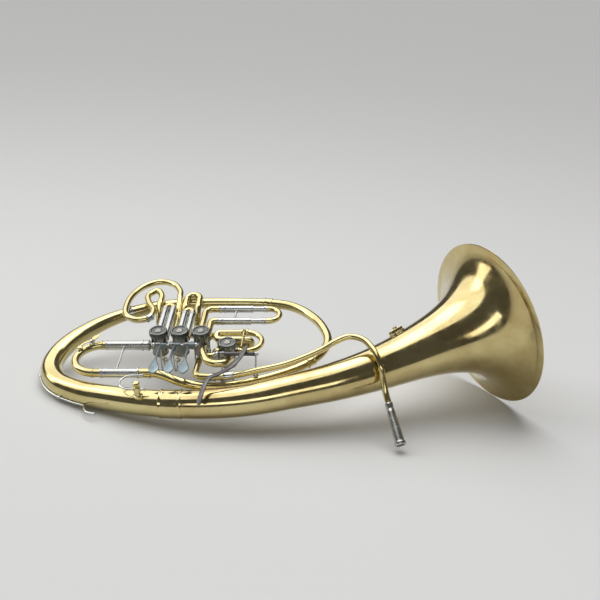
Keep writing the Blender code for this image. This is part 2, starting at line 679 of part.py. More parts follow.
def build_valve(horn, index):
    """Casing with its port stubs, rotor with two scoops, stop arm, and screw cap."""
    x, y, floor = valve_axis(index)
    top = floor + CASING_HEIGHT
    height = port_height(index)
    bore = CASING_RADIUS - CASING_WALL
    rotor_radius = bore - FIT
    body = collar(bmesh.new(), (x, y, floor), (0, 0, 1),
                  [(0, 0), (0, CASING_RADIUS), (CASING_HEIGHT, CASING_RADIUS), (CASING_HEIGHT, 0)], ROTOR_SIDES)
    stubs, holes = [], []
    edge = port_edge()
    for ox, oy, dx, dy, reach in port_directions(index):
        start = Vector((x + ox, y + oy, height))
        way = Vector((dx, dy, 0))
        inside = start + way * (edge - CASING_WALL + 0.4)
        stubs.append(sweep(bmesh.new(), [inside, start + way * (edge + reach - FIT)], PORT_DIAMETER / 2, 10))
        holes.append(sweep(bmesh.new(), [start + way * 2, start + way * (edge + reach + 2)],
                           PORT_DIAMETER / 2 - BRASS_WALL, 8))
    holes.append(collar(bmesh.new(), (x, y, floor), (0, 0, 1),
                        [(CASING_FLOOR, 0), (CASING_FLOOR, bore), (CASING_HEIGHT + 5, bore),
                         (CASING_HEIGHT + 5, 0)], ROTOR_SIDES))
    holes.append(collar(bmesh.new(), (x, y, floor), (0, 0, 1),
                        [(-5, 0), (-5, SPINDLE_RADIUS + FIT), (CASING_FLOOR + 2, SPINDLE_RADIUS + FIT),
                         (CASING_FLOOR + 2, 0)], 12))
    if index in (1, 2):
        joins, cuts = rear_sleeves(index)
        stubs += joins
        holes += cuts
    if index in (1, 3):
        side = lever_x(index) + (-1 if index == 1 else 1) * BARREL_LENGTH / 2
        out = -1 if index == 1 else 1
        stubs += hinge_lug((side + out * (LUG_THICKNESS / 2 + FIT), HINGE_Y, HINGE_Z), y - LUG_FOOT_BACK,
                           floor + LUG_FOOT_RISE)
    if index == 4:
        side = THUMB_HINGE[0] - THUMB_BARREL / 2 - LUG_THICKNESS / 2 - FIT
        stubs += hinge_lug((side, THUMB_HINGE[1], THUMB_HINGE[2]), y - THUMB_LUG_BACK, floor + LUG_FOOT_RISE)
    horn.add(f"valve_{index}_casing", cut_and_join(body, stubs, holes), BRASS)

    low = floor + CASING_FLOOR + FIT
    high = top - BEARING_THICKNESS - 2 * FIT
    bm = bmesh.new()
    loops = []
    count = 6
    for k in range(count + 1):
        z = low + (high - low) * k / count
        depth = SCOOP_DEPTH * math.sqrt(max(0.0, 1 - ((z - height) / (PORT_DIAMETER / 2 + 0.6)) ** 2))
        loop = []
        for j in range(ROTOR_SIDES):
            angle = 2 * math.pi * (j + 0.5) / ROTOR_SIDES
            scoop = max(0.0, 1 - (math.cos(angle) / 0.86) ** 4)
            radius = rotor_radius - depth * scoop
            loop.append(bm.verts.new((x + radius * math.cos(angle), y + radius * math.sin(angle), z)))
        loops.append(loop)
    for a, b in zip(loops, loops[1:]):
        skin(bm, a, b)
    stem_low = floor - FIT - STOP_ARM_THICKNESS - 0.8
    for loop, end in ((loops[0], stem_low), (loops[-1], high + BEARING_THICKNESS)):
        spindle, tip = [], []
        for j in range(ROTOR_SIDES):
            angle = 2 * math.pi * (j + 0.5) / ROTOR_SIDES
            cx, cy = x + SPINDLE_RADIUS * math.cos(angle), y + SPINDLE_RADIUS * math.sin(angle)
            if j % 2 == 0:
                spindle.append(bm.verts.new((cx, cy, loop[0].co.z)))
                tip.append(bm.verts.new((cx, cy, end)))
        n = len(loop)
        for j in range(len(spindle)):
            a, b, c = loop[2 * j], loop[(2 * j + 1) % n], loop[(2 * j + 2) % n]
            p, q = spindle[j], spindle[(j + 1) % len(spindle)]
            bm.faces.new((a, b, p))
            bm.faces.new((b, q, p))
            bm.faces.new((b, c, q))
        skin(bm, spindle, tip)
        bm.faces.new(tip)
    horn.add(f"rotor_{index}", bm, BRASS, (x, y, height))

    build_stop_arm(horn, index, x, y, floor)

    skirt = top - 3.0
    rim = CASING_RADIUS + FIT
    outer = CASING_RADIUS + CAP_OVERHANG
    lid = top + FIT
    crown = skirt + CAP_HEIGHT
    profile = [(0, 0), (0, rim), (-(lid - skirt), rim), (-(lid - skirt), outer), (crown - lid - 0.8, outer),
               (crown - lid, outer - 0.9), (crown - lid, outer - 2.4), (crown - lid - 1.6, outer - 3.2),
               (crown - lid - 1.6, 4.4), (crown - lid - 0.4, 3.4), (crown - lid - 0.4, 0)]
    horn.add(f"valve_{index}_cap", collar(bmesh.new(), (x, y, lid), (0, 0, 1), profile, ROTOR_SIDES), NICKEL)


def stop_side(index):
    """Side of the spindle on which the link runs, and the arm's radius."""
    return (1 if index == 1 else -1), (THUMB_ARM_RADIUS if index == 4 else STOP_ARM_RADIUS)


def build_stop_arm(horn, index, x, y, floor):
    """Stop arm on the foot of the spindle, with the pin that hangs into the link's eye."""
    side, reach = stop_side(index)
    link = THUMB_LINK_Z if index == 4 else LINK_Z
    high = floor - FIT
    low = high - STOP_ARM_THICKNESS
    # At rest the pin lies 45 degrees towards the levers.
    angle = -math.pi / 4 if side > 0 else -3 * math.pi / 4
    along = Vector((math.cos(angle), math.sin(angle), 0))
    across = Vector((-along.y, along.x, 0))
    hub, tip = 4.4, 2.3
    outline = []
    for k in range(9):
        a = math.pi / 2 + math.pi * k / 8
        outline.append(Vector((x, y, 0)) + along * (hub * math.cos(a)) + across * (hub * math.sin(a)))
    for k in range(7):
        a = -math.pi / 2 + math.pi * k / 6
        outline.append(Vector((x, y, 0)) + along * (reach + tip * math.cos(a)) + across * (tip * math.sin(a)))
    arm = prism(bmesh.new(), [(p.x, p.y) for p in outline], low, high)
    centre = Vector((x, y, 0)) + along * reach
    pin = rod_between(bmesh.new(), (centre.x, centre.y, low + 0.5), (centre.x, centre.y, link - 2.4), PIN_RADIUS)
    hole = rod_between(bmesh.new(), (x, y, low - 2), (x, y, high + 2), SPINDLE_RADIUS + FIT, 12)
    horn.add(f"stop_arm_{index}", cut_and_join(arm, [pin], [hole]), BRASS, (x, y, high))


def build_bearing(horn, index):
    """The plate under a cap that holds the upper spindle."""
    bore = CASING_RADIUS - CASING_WALL
    x, y, floor = valve_axis(index)
    low = floor + CASING_HEIGHT - BEARING_THICKNESS - FIT
    plate = collar(bmesh.new(), (x, y, low), (0, 0, 1),
                   [(0, SPINDLE_RADIUS + FIT), (0, bore - FIT), (BEARING_THICKNESS, bore - FIT),
                    (BEARING_THICKNESS, SPINDLE_RADIUS + FIT)], 16)
    horn.add(f"bearing_plate_{index}", plate, BRASS)


def touch_outline():
    """Half widths of a lever from the hinge to the tip of its touch piece."""
    out = []
    stem_end = LEVER_LENGTH - TOUCH_LENGTH
    for k in range(5):
        out.append((BARREL_RADIUS + 0.6 + (stem_end - BARREL_RADIUS - 0.6) * k / 4, STEM_WIDTH / 2))
    for k in range(1, 10):
        f = k / 10
        bulge = math.sin(math.pi * f * f) ** 0.7
        out.append((stem_end + TOUCH_LENGTH * f, STEM_WIDTH / 2 * (1 - f) + (TOUCH_WIDTH / 2) * bulge))
    out.append((LEVER_LENGTH, 0.2 * TOUCH_WIDTH))
    return out


def lever_pin_x(index):
    """Where the link of a valve runs."""
    side, reach = stop_side(index)
    return valve_axis(index)[0] + side * reach * (1 + math.cos(math.pi / 4)) / 2


def half_swing(index):
    """Half the turn of a lever that carries its stop arm through its quarter turn."""
    _, reach = stop_side(index)
    drop = (THUMB_HINGE[2] - THUMB_LINK_Z) if index == 4 else (HINGE_Z - LINK_Z)
    return math.asin(reach * math.sin(math.pi / 4) / drop)


def arm_end(index):
    """The pin at the lower end of a lever's arm, at rest."""
    if index == 4:
        y, z, drop = THUMB_HINGE[1], THUMB_HINGE[2], THUMB_HINGE[2] - THUMB_LINK_Z
    else:
        y, z, drop = HINGE_Y, HINGE_Z, HINGE_Z - LINK_Z
    swing = half_swing(index)
    return Vector((lever_pin_x(index), y - drop * math.sin(swing), z - drop * math.cos(swing)))


def lever_arm(index, pivot):
    """The arm that hangs from a lever's barrel, with a cross pin at its end."""
    end = arm_end(index)
    start = Vector((end.x, pivot.y, pivot.z))
    along = (end - start).normalized()
    arm = strip(bmesh.new(), [start + along * 1.9, end + along * 2.2], [4.2, 3.4], 1.8, Vector((1, 0, 0)))
    return arm, rod_between(bmesh.new(), end - Vector((0.2, 0, 0)), end + Vector((3.4, 0, 0)), PIN_RADIUS)


def build_lever(horn, index):
    """Finger lever: barrel on the rod, curved stem with a teardrop touch, and the arm below."""
    x = lever_x(index)
    pivot = Vector((x, HINGE_Y, HINGE_Z))
    h = BARREL_LENGTH / 2
    barrel = collar(bmesh.new(), pivot, (1, 0, 0),
                    [(-h, ROD_RADIUS + FIT), (-h, BARREL_RADIUS), (h, BARREL_RADIUS), (h, ROD_RADIUS + FIT)], 14)
    points, widths = [], []
    outline = touch_outline()
    for reach, half in [(1.9 + ROD_RADIUS * 0.3, STEM_WIDTH / 2)] + outline:
        f = reach / LEVER_LENGTH
        arch = LEVER_ARCH * math.sin(math.pi * f * 0.62)
        points.append(Vector((x + LEVER_LEAN * f, HINGE_Y - reach, HINGE_Z + arch)))
        widths.append(2 * half)
    stem = strip(bmesh.new(), points, widths, TOUCH_THICKNESS)
    arm, pin = lever_arm(index, pivot)
    solid = cut_and_join(barrel, [stem, arm, pin])
    horn.add(f"lever_{index}", solid, NICKEL, pivot)


def build_thumb_lever(horn):
    """Long flat lever of the fourth valve, which reaches over the mouthpipe and the bell's tube."""
    pivot = Vector(THUMB_HINGE)
    h = THUMB_BARREL / 2
    barrel = collar(bmesh.new(), pivot, (1, 0, 0),
                    [(-h, ROD_RADIUS + FIT), (-h, BARREL_RADIUS), (h, BARREL_RADIUS), (h, ROD_RADIUS + FIT)], 14)
    line = spline(THUMB_ROUTE, 9)
    bar = strip(bmesh.new(), line, [THUMB_WIDTH] * len(line), THUMB_THICKNESS)
    crossing = min(line, key=lambda p: abs(p.y - pivot.y))
    post = rod_between(bmesh.new(), (crossing.x, pivot.y, pivot.z + BARREL_RADIUS - 1.0),
                       (crossing.x, pivot.y, crossing.z - 0.2), 2.2)
    arm, pin = lever_arm(4, pivot)
    horn.add("lever_4", cut_and_join(barrel, [post, bar, arm, pin]), NICKEL, pivot)


def build_link(horn, index):
    """Flat link from a lever's arm to the stop arm, with a clear eye round the stop arm's pin."""
    x, y, _ = valve_axis(index)
    _, reach = stop_side(index)
    end = arm_end(index)
    far = Vector((end.x, y - reach * math.sin(math.pi / 4), end.z))
    thick = 1.6
    eye = collar(bmesh.new(), far - Vector((0, 0, thick / 2)), (0, 0, 1),
                 [(0, LINK_EYE - 1.3), (0, LINK_EYE), (thick, LINK_EYE), (thick, LINK_EYE - 1.3)], 12)
    near = end + Vector((2.6, 0, 0))
    hub = collar(bmesh.new(), near, (1, 0, 0),
                 [(-1.0, PIN_RADIUS + FIT), (-1.0, 2.8), (1.0, 2.8), (1.0, PIN_RADIUS + FIT)], 12)
    bar = strip(bmesh.new(), [near + Vector((0, 1.9, 0)), near + Vector((0, 5, 0)),
                              Vector((far.x, far.y - 7, far.z)), Vector((far.x, far.y - LINK_EYE + 0.6, far.z))],
                [2.0, 2.0, 2.0, 2.0], thick)
    horn.add(f"link_{index}", cut_and_join(hub, [bar, eye]), STEEL, end)


def build_hinges(horn):
    """The rods that the levers turn on, and the post that holds the thumb lever's outer end."""
    reach = LUG_THICKNESS + 2 * FIT + 1.5
    left, right = lever_x(1) - BARREL_LENGTH / 2 - reach, lever_x(3) + BARREL_LENGTH / 2 + reach
    horn.add("lever_rod", rod_between(bmesh.new(), (left, HINGE_Y, HINGE_Z), (right, HINGE_Y, HINGE_Z),
                                      ROD_RADIUS, 10), STEEL)
    x, y, z = THUMB_HINGE
    h = THUMB_BARREL / 2 + reach
    horn.add("thumb_rod", rod_between(bmesh.new(), (x - h, y, z), (x + h, y, z), ROD_RADIUS, 10), STEEL)
    post_x = x + THUMB_BARREL / 2 + LUG_THICKNESS / 2 + FIT
    low = RETURN_DIAMETER / 2 + FIT + THUMB_FOOT_GAP
    post = hinge_lug((post_x, y, z), THUMB_FOOT_Y, low)
    foot = collar(bmesh.new(), (post_x, THUMB_FOOT_Y, low), (0, 0, 1),
                  [(0, 0), (0, LUG_FOOT_RADIUS), (LUG_FOOT_RADIUS / 2, LUG_FOOT_RADIUS),
                   (LUG_FOOT_RADIUS * 0.9, LUG_FOOT_RADIUS / 2), (LUG_FOOT_RADIUS * 0.9, 0)], 12)
    horn.add("thumb_bracket", cut_and_join(foot, post), NICKEL)


def build_main_slide(horn):
    """Main tuning slide: two nickel sleeves with their stay, and the brass bow that draws out of them."""
    z = MAIN_LEG_HEIGHT
    upper_y = main_upper_y()
    upper_end = VALVE_1[0] - port_edge() - STUB
    spans = ((upper_y, MAIN_UPPER_START, upper_end), (MAIN_LOWER_Y, MAIN_LOWER_START, RETURN_ROUTE[0][0] - FIT))
    bodies, cuts = [], []
    for y, x0, x1 in spans:
        points = [Vector((x0, y, z)), Vector((x1, y, z))]
        bodies.append(sweep(bmesh.new(), points, MAIN_SLEEVE_DIAMETER / 2, 12))
        low, high = MAIN_LEG_DIAMETER / 2 - RING_RISE, MAIN_SLEEVE_DIAMETER / 2 + RING_RISE
        bodies.append(collar(bmesh.new(), (x1 - 2.4, y, z), (1, 0, 0),
                             [(-2, low), (-2, high), (2, high), (2, low)], 12))
        cuts.append(sweep(bmesh.new(), [points[0] - Vector((3, 0, 0)), points[1] + Vector((3, 0, 0))],
                          MAIN_LEG_DIAMETER / 2 + FIT, 12))
    x = MAIN_UPPER_START + MAIN_STAY_SETBACK
    reach = MAIN_SLEEVE_DIAMETER / 2 - STAY_SINK
    stay = rod_between(bmesh.new(), (x, upper_y - reach, z), (x, MAIN_LOWER_Y + reach, z), STAY_RADIUS)
    horn.add("main_slide_sleeves", cut_and_join(bodies[0], bodies[1:] + [stay], cuts), NICKEL)
    radius = (upper_y - MAIN_LOWER_Y) / 2
    middle = (upper_y + MAIN_LOWER_Y) / 2
    points = [Vector((upper_end - 3, upper_y, z)), Vector((MAIN_BOW_X, upper_y, z))]
    for k in range(1, 9):
        a = math.pi / 2 + math.pi * k / 9
        points.append(Vector((MAIN_BOW_X + radius * math.cos(a), middle + radius * math.sin(a), z)))
    points += [Vector((MAIN_BOW_X, MAIN_LOWER_Y, z)), Vector((RETURN_ROUTE[0][0] - 4, MAIN_LOWER_Y, z))]
    bow = tube(points, MAIN_LEG_DIAMETER / 2, 12, SLIDE_WALL)
    pad = bow_point(KEY_PAD_ANGLE)
    nipple = collar(bmesh.new(), pad, (0, 0, 1),
                    [(MAIN_LEG_DIAMETER / 2 - 1.0, 0), (MAIN_LEG_DIAMETER / 2 - 1.0, 3.0),
                     (MAIN_LEG_DIAMETER / 2 + NIPPLE_HEIGHT, 2.6), (MAIN_LEG_DIAMETER / 2 + NIPPLE_HEIGHT, 0)], 10)
    drain = collar(bmesh.new(), pad, (0, 0, 1), [(2.0, 0), (2.0, 1.4), (12.0, 1.4), (12.0, 0)], 8)
    horn.add("main_slide", cut_and_join(bow, [nipple], [drain]), BRASS, (MAIN_BOW_X, middle, z))


def bow_point(angle, lift=0.0):
    """A point on the main slide's round bow."""
    radius = (main_upper_y() - MAIN_LOWER_Y) / 2
    middle = (main_upper_y() + MAIN_LOWER_Y) / 2
    return Vector((MAIN_BOW_X + radius * math.cos(angle), middle + radius * math.sin(angle),
                   MAIN_LEG_HEIGHT + lift))


def build_water_key(horn):
    """Hinge saddle and sprung key that closes the drain of the main slide."""
    top = MAIN_LEG_DIAMETER / 2
    pad = bow_point(KEY_PAD_ANGLE, top + NIPPLE_HEIGHT + FIT)
    pivot = bow_point(KEY_PIVOT_ANGLE, top + KEY_RISE)
    flat = Vector((pad.x - pivot.x, pad.y - pivot.y, 0))
    way = flat.normalized()
    axis = Vector((-way.y, way.x, 0))
    pin = sweep(bmesh.new(), [pivot - axis * 4.6, pivot + axis * 4.6], 1.0, 8)
    cheeks = []
    for side in (-1, 1):
        centre = pivot + axis * (3.4 * side)
        foot = Vector((centre.x, centre.y, MAIN_LEG_HEIGHT + top + FIT))
        cheeks.append(strip(bmesh.new(), [foot, centre + Vector((0, 0, 1.9))], [4.4, 3.4], 1.2, axis))
    base_z = MAIN_LEG_HEIGHT + top + FIT
    base = strip(bmesh.new(), [Vector((pivot.x, pivot.y, base_z + 0.6)) - axis * 4.0,
                               Vector((pivot.x, pivot.y, base_z + 0.6)) + axis * 4.0], [4.4, 4.4], 1.2)
    horn.add("water_key_saddle", cut_and_join(base, cheeks + [pin]), NICKEL, pivot)
    hub = collar(bmesh.new(), pivot, axis, [(-2.3, 1.0 + FIT), (-2.3, 2.3), (2.3, 2.3), (2.3, 1.0 + FIT)], 10)
    cup_top = pad + Vector((0, 0, 2.6))
    arm = strip(bmesh.new(), [pivot + way * 1.9 + Vector((0, 0, 0.4)), pivot + way * (flat.length * 0.6)
                              + Vector((0, 0, 0.9)), Vector((pad.x, pad.y, cup_top.z - 0.5))], [3.0, 3.0, 3.4], 1.4)
    cup = collar(bmesh.new(), pad, (0, 0, 1), [(0, 0), (0, KEY_PAD_RADIUS - 0.5), (0.8, KEY_PAD_RADIUS),
                                               (2.6, KEY_PAD_RADIUS - 0.6), (2.6, 0)], 12)
    touch = strip(bmesh.new(), [pivot - way * 1.9 + Vector((0, 0, 0.4)), pivot - way * 7 + Vector((0, 0, 2.4)),
                                pivot - way * 13.5 + Vector((0, 0, 3.6))], [3.0, 4.6, 7.0], 1.4)
    horn.add("water_key", cut_and_join(hub, [arm, cup, touch]), BRASS, pivot)


def main_upper_y():
    """The upper leg runs straight into the first valve's port."""
    return VALVE_1[1] - PORT_OFFSET


def u_bow(horn, name, start, way, across, spacing, reach):
    """A U-shaped slide that draws out along its own legs."""
    start, way, across = Vector(start), Vector(way), Vector(across)
    bow = spacing / 2
    legs = [start - across * bow, start + across * bow]
    centre = start + way * (reach - bow)
    points = [legs[0], centre - across * bow]
    for k in range(1, 6):
        a = math.pi * k / 6
        points.append(centre - across * (bow * math.cos(a)) + way * (bow * math.sin(a)))
    points += [centre + across * bow, legs[1]]
    return horn.add(name, tube(points, SLIDE_DIAMETER / 2, 10, BRASS_WALL), BRASS, centre)


def build_valve_slides(horn):
    """The slides of valves 1 and 2, straight behind them, and of valves 3 and 4, to the right."""
    for index, end in ((1, SLIDE_1_END), (2, SLIDE_2_END)):
        x, y, _ = valve_axis(index)
        foot = y + port_edge() + STUB + 2.0
        u_bow(horn, f"slide_{index}", (x, foot, port_height(index)), (0, 1, 0), (1, 0, 0),
              2 * PORT_OFFSET, end - SLIDE_DIAMETER / 2 - foot)

    x, y, _ = valve_axis(3)
    z = port_height(3)
    foot = y + port_edge() + STUB + FIT
    bodies, cuts = [], []
    for port, target in ((-PORT_OFFSET, SLIDE_3_UPPER_Y), (PORT_OFFSET, SLIDE_3_LOWER_Y)):
        line = bent([(x + port, foot, z), (x + port, target, z), (SLIDE_3_START, target, z)], 9)
        bodies.append(sweep(bmesh.new(), line, PORT_DIAMETER / 2, 10))
        root, mouth = Vector((SLIDE_3_START, target, z)), Vector((SLIDE_3_SLEEVE, target, z))
        bodies.append(sweep(bmesh.new(), [root - Vector((1, 0, 0)), mouth], SLEEVE_DIAMETER / 2, 10))
        cuts.append(sweep(bmesh.new(), [line[0] - Vector((0, 2, 0))] + line[1:-1] + [line[-1] + Vector((2, 0, 0))],
                          SLIDE_DIAMETER / 2 - FIT, 8))
        cuts.append(sweep(bmesh.new(), [root + Vector((2, 0, 0)), mouth + Vector((3, 0, 0))],
                          SLIDE_DIAMETER / 2 + FIT, 10))
    stay_x = (SLIDE_3_START + SLIDE_3_SLEEVE) / 2
    reach = SLEEVE_DIAMETER / 2 - STAY_SINK / 2
    stay = rod_between(bmesh.new(), (stay_x, SLIDE_3_UPPER_Y - reach, z), (stay_x, SLIDE_3_LOWER_Y + reach, z),
                       STAY_RADIUS)
    horn.add("slide_3_sleeves", cut_and_join(bodies[0], bodies[1:] + [stay], cuts), NICKEL)
    spacing = SLIDE_3_UPPER_Y - SLIDE_3_LOWER_Y
    u_bow(horn, "slide_3", (SLIDE_3_START + 3, (SLIDE_3_UPPER_Y + SLIDE_3_LOWER_Y) / 2, z), (1, 0, 0), (0, 1, 0),
          spacing, SLIDE_3_END - SLIDE_DIAMETER / 2 - SLIDE_3_START - 3)

    z = port_height(4)
    start = slide_4_start()
    lower_y = valve_axis(4)[1] + PORT_OFFSET
    bodies, cuts = [], []
    for y in (lower_y, SLIDE_4_UPPER_Y):
        bodies.append(sweep(bmesh.new(), [Vector((start, y, z)), Vector((SLIDE_4_SLEEVE, y, z))],
                            SLEEVE_DIAMETER / 2, 10))
        cuts.append(sweep(bmesh.new(), [Vector((start - 3, y, z)), Vector((SLIDE_4_SLEEVE + 3, y, z))],
                          SLIDE_DIAMETER / 2 + FIT, 10))
    lift = SLEEVE_DIAMETER / 2 - STAY_SINK
    x = start + SLEEVE_DIAMETER / 2
    stay = rod_between(bmesh.new(), (x, lower_y + STAY_SINK, z + lift), (x, SLIDE_4_UPPER_Y - STAY_SINK, z + lift),
                       STAY_RADIUS)
    horn.add("slide_4_sleeves", cut_and_join(bodies[0], [bodies[1], stay], cuts), BRASS)
    u_bow(horn, "slide_4", (start + 1, (SLIDE_4_UPPER_Y + lower_y) / 2, z), (1, 0, 0), (0, 1, 0),
          SLIDE_4_UPPER_Y - lower_y, SLIDE_4_END - SLIDE_DIAMETER / 2 - start - 1)


def slide_4_start():
    """Where the fourth slide's sleeves meet the casing's stub and the loop."""
    return valve_axis(4)[0] + port_edge() + STUB + FIT


def build_coil(horn):
    """The fourth valve's long loop: under the slides, up into an open coil over the top branch."""
    z = port_height(4)
    start = slide_4_start() - FIT
    stub = valve_axis(4)[0] - port_edge() - STUB
    run = [(start, SLIDE_4_UPPER_Y, z)] + LOOP_CLIMB
    climb = bent(run, LOOP_BEND, 46)
    coil = spline([climb[-1]] + [(x, y, COIL_HEIGHT) for x, y in COIL_PLAN] + [COIL_END], 17)
    y = valve_axis(4)[1] + PORT_OFFSET
    x = LOOP_DROP[-1][0]
    drop = bent([coil[-1]] + LOOP_DROP + [(x, y, LOOP_DROP[-1][2]), (x, y, z), (stub, y, z)], LOOP_BEND, 46)
    whole = climb[:-1] + coil[:-1] + drop
    horn.add("fourth_valve_loop", tube(trim(whole, 0, FIT), LOOP_DIAMETER / 2, 10), BRASS)


def build_air_tubes(horn):
    """Mouthpipe, receiver, the tube into the fourth valve, and the tube from the third to the fourth."""
    pipe = spline(LEADPIPE_ROUTE, 18)
    joint = (pipe[0] - pipe[1]).normalized()
    horn.add("leadpipe", tube(trim(pipe, FIT, FIT), LEADPIPE_DIAMETER / 2, 10), BRASS)
    end = pipe[-1]
    way = (pipe[-1] - pipe[-2]).normalized()
    radius = LEADPIPE_DIAMETER / 2
    wide = RECEIVER_DIAMETER / 2
    bore = RECEIVER_BORE / 2
    length = RECEIVER_LENGTH
    profile = [(-8, radius + FIT), (-8, radius + 1.2), (4, wide - 1.6), (length - 4, wide), (length - 3, wide + 0.8),
               (length - 1, wide + 0.8), (length, wide), (length, bore), (14, bore - 1.2), (10, bore - 1.8),
               (0, bore - 1.8), (0, radius + FIT)]
    horn.add("receiver", collar(bmesh.new(), end, way, profile, 14), NICKEL)
    _, y, _ = valve_axis(4)
    edge = port_edge()
    z = port_height(4)
    start = pipe[0]
    lead = bent([start, INLET_CORNER, (INLET_CORNER[0], y - PORT_OFFSET, z),
                 (valve_axis(4)[0] - edge - STUB, y - PORT_OFFSET, z)], INLET_BEND, 24)
    lead_ends = (joint, (1, 0, 0))
    horn.add("lead_loop", tube(trim(lead, FIT, FIT), LEADPIPE_DIAMETER / 2 + 0.3, 10, ends=lead_ends), BRASS)
    x3, y3, _ = valve_axis(3)
    x4, y4, _ = valve_axis(4)
    low3, low4 = y3 - edge - STUB, y4 - edge - STUB
    x3, x4 = x3 + PORT_OFFSET, x4 + PORT_OFFSET
    z3 = port_height(3)
    curve = spline([(x3, low3, z3), (x3, low3 - 0.4 * PORT_DIAMETER, z3 + 1.5),
                    (x3, low3 - 1.1 * PORT_DIAMETER, z3 + 0.8 * PORT_DIAMETER)] + CROSS_ROUTE
                   + [(x4, low4 - 1.2 * PORT_DIAMETER, z + 0.8 * PORT_DIAMETER),
                      (x4, low4 - 0.4 * PORT_DIAMETER, z + 1.5), (x4, low4, z)], 9)
    ends = ((0, -1, 0), (0, 1, 0))
    horn.add("valve_3_to_4_tube", tube(trim(curve, FIT, FIT), PORT_DIAMETER / 2, 10, ends=ends), BRASS)
    return pipe


def surface_height(line, radii, x, y):
    """Height of a nearly horizontal tube's surface over a point of the plane."""
    away = [math.hypot(p.x - x, p.y - y) for p in line]
    best = min(range(len(line)), key=lambda k: away[k])
    return line[best].z + math.sqrt(max(0.0, radii[best] ** 2 - away[best] ** 2))


def build_hook(horn, left, joint_radius):
    """Adjustable finger hook, the socket that clamps it, and the socket's thumbscrew."""
    length = lengths(left)[-1]
    fine = resample(left, [length * k / 200 for k in range(201)])
    radii = [branch_radius("bottom_bow", TOP_DIAMETER / 2, joint_radius, k / 200) for k in range(201)]
    # The foot is cut to clear the bow over its whole width.
    crown = max(surface_height(fine, radii, SOCKET_X, HOOK_Y + y) for y in (-6.6, -3.3, 0, 3.3, 6.6)) + FIT
    h = HOOK_HEIGHT - crown
    post = collar(bmesh.new(), (SOCKET_X, HOOK_Y, crown), (0, 0, 1),
                  [(0, 0), (0, SOCKET_RADIUS + 2.2), (1.6, SOCKET_RADIUS + 2.2), (2.6, SOCKET_RADIUS),
                   (h + 3.0, SOCKET_RADIUS), (h + 4.0, SOCKET_RADIUS - 1.0), (h + 4.0, 0)], 14)
    through = Vector((3 * SOCKET_RADIUS, 0, 0))
    eye = Vector((SOCKET_X, HOOK_Y, HOOK_HEIGHT))
    hole = sweep(bmesh.new(), [eye - through, eye + through], HOOK_WIRE + FIT, 10)
    bore = collar(bmesh.new(), (SOCKET_X, HOOK_Y, HOOK_HEIGHT), (0, 0, 1),
                  [(0, 0), (0, 1.5 + FIT), (9, 1.5 + FIT), (9, 0)], 8)
    horn.add("hook_socket", cut_and_join(post, [], [hole, bore]), BRASS)
    top = crown + h + 4.0
    screw = collar(bmesh.new(), (SOCKET_X, HOOK_Y, top), (0, 0, 1),
                   [(HOOK_HEIGHT + HOOK_WIRE + FIT - top, 0), (HOOK_HEIGHT + HOOK_WIRE + FIT - top, 1.5), (1.2, 1.5),
                    (1.2, 3.4), (2.4, THUMBSCREW_RADIUS), (6.0, THUMBSCREW_RADIUS), (7.4, 3.2), (7.4, 0)], 14)
    horn.add("thumbscrew", screw, BRASS, (SOCKET_X, HOOK_Y, top))
    z = HOOK_HEIGHT
    half = HOOK_SPAN / 2
    right, left_end = HOOK_LEGS
    free_y = HOOK_Y + HOOK_SPAN
    line = [Vector((SOCKET_X + right, HOOK_Y, z)), Vector((SOCKET_X - left_end, HOOK_Y, z))]
    for k in range(1, 8):
        a = -math.pi / 2 - math.pi * k / 8
        line.append(Vector((SOCKET_X - left_end + half * math.cos(a), HOOK_Y + half + half * math.sin(a), z)))
    line += [Vector((SOCKET_X - left_end, free_y, z)), Vector((SOCKET_X, free_y, z)),
             Vector((SOCKET_X + HOOK_FREE_END, free_y, z + 0.5))]
    radii = [HOOK_WIRE] * (len(line) - 2) + [1.15 * HOOK_WIRE, 1.5 * HOOK_WIRE]
    horn.add("finger_hook", sweep(bmesh.new(), line, radii, 8), NICKEL, (SOCKET_X, HOOK_Y, z))


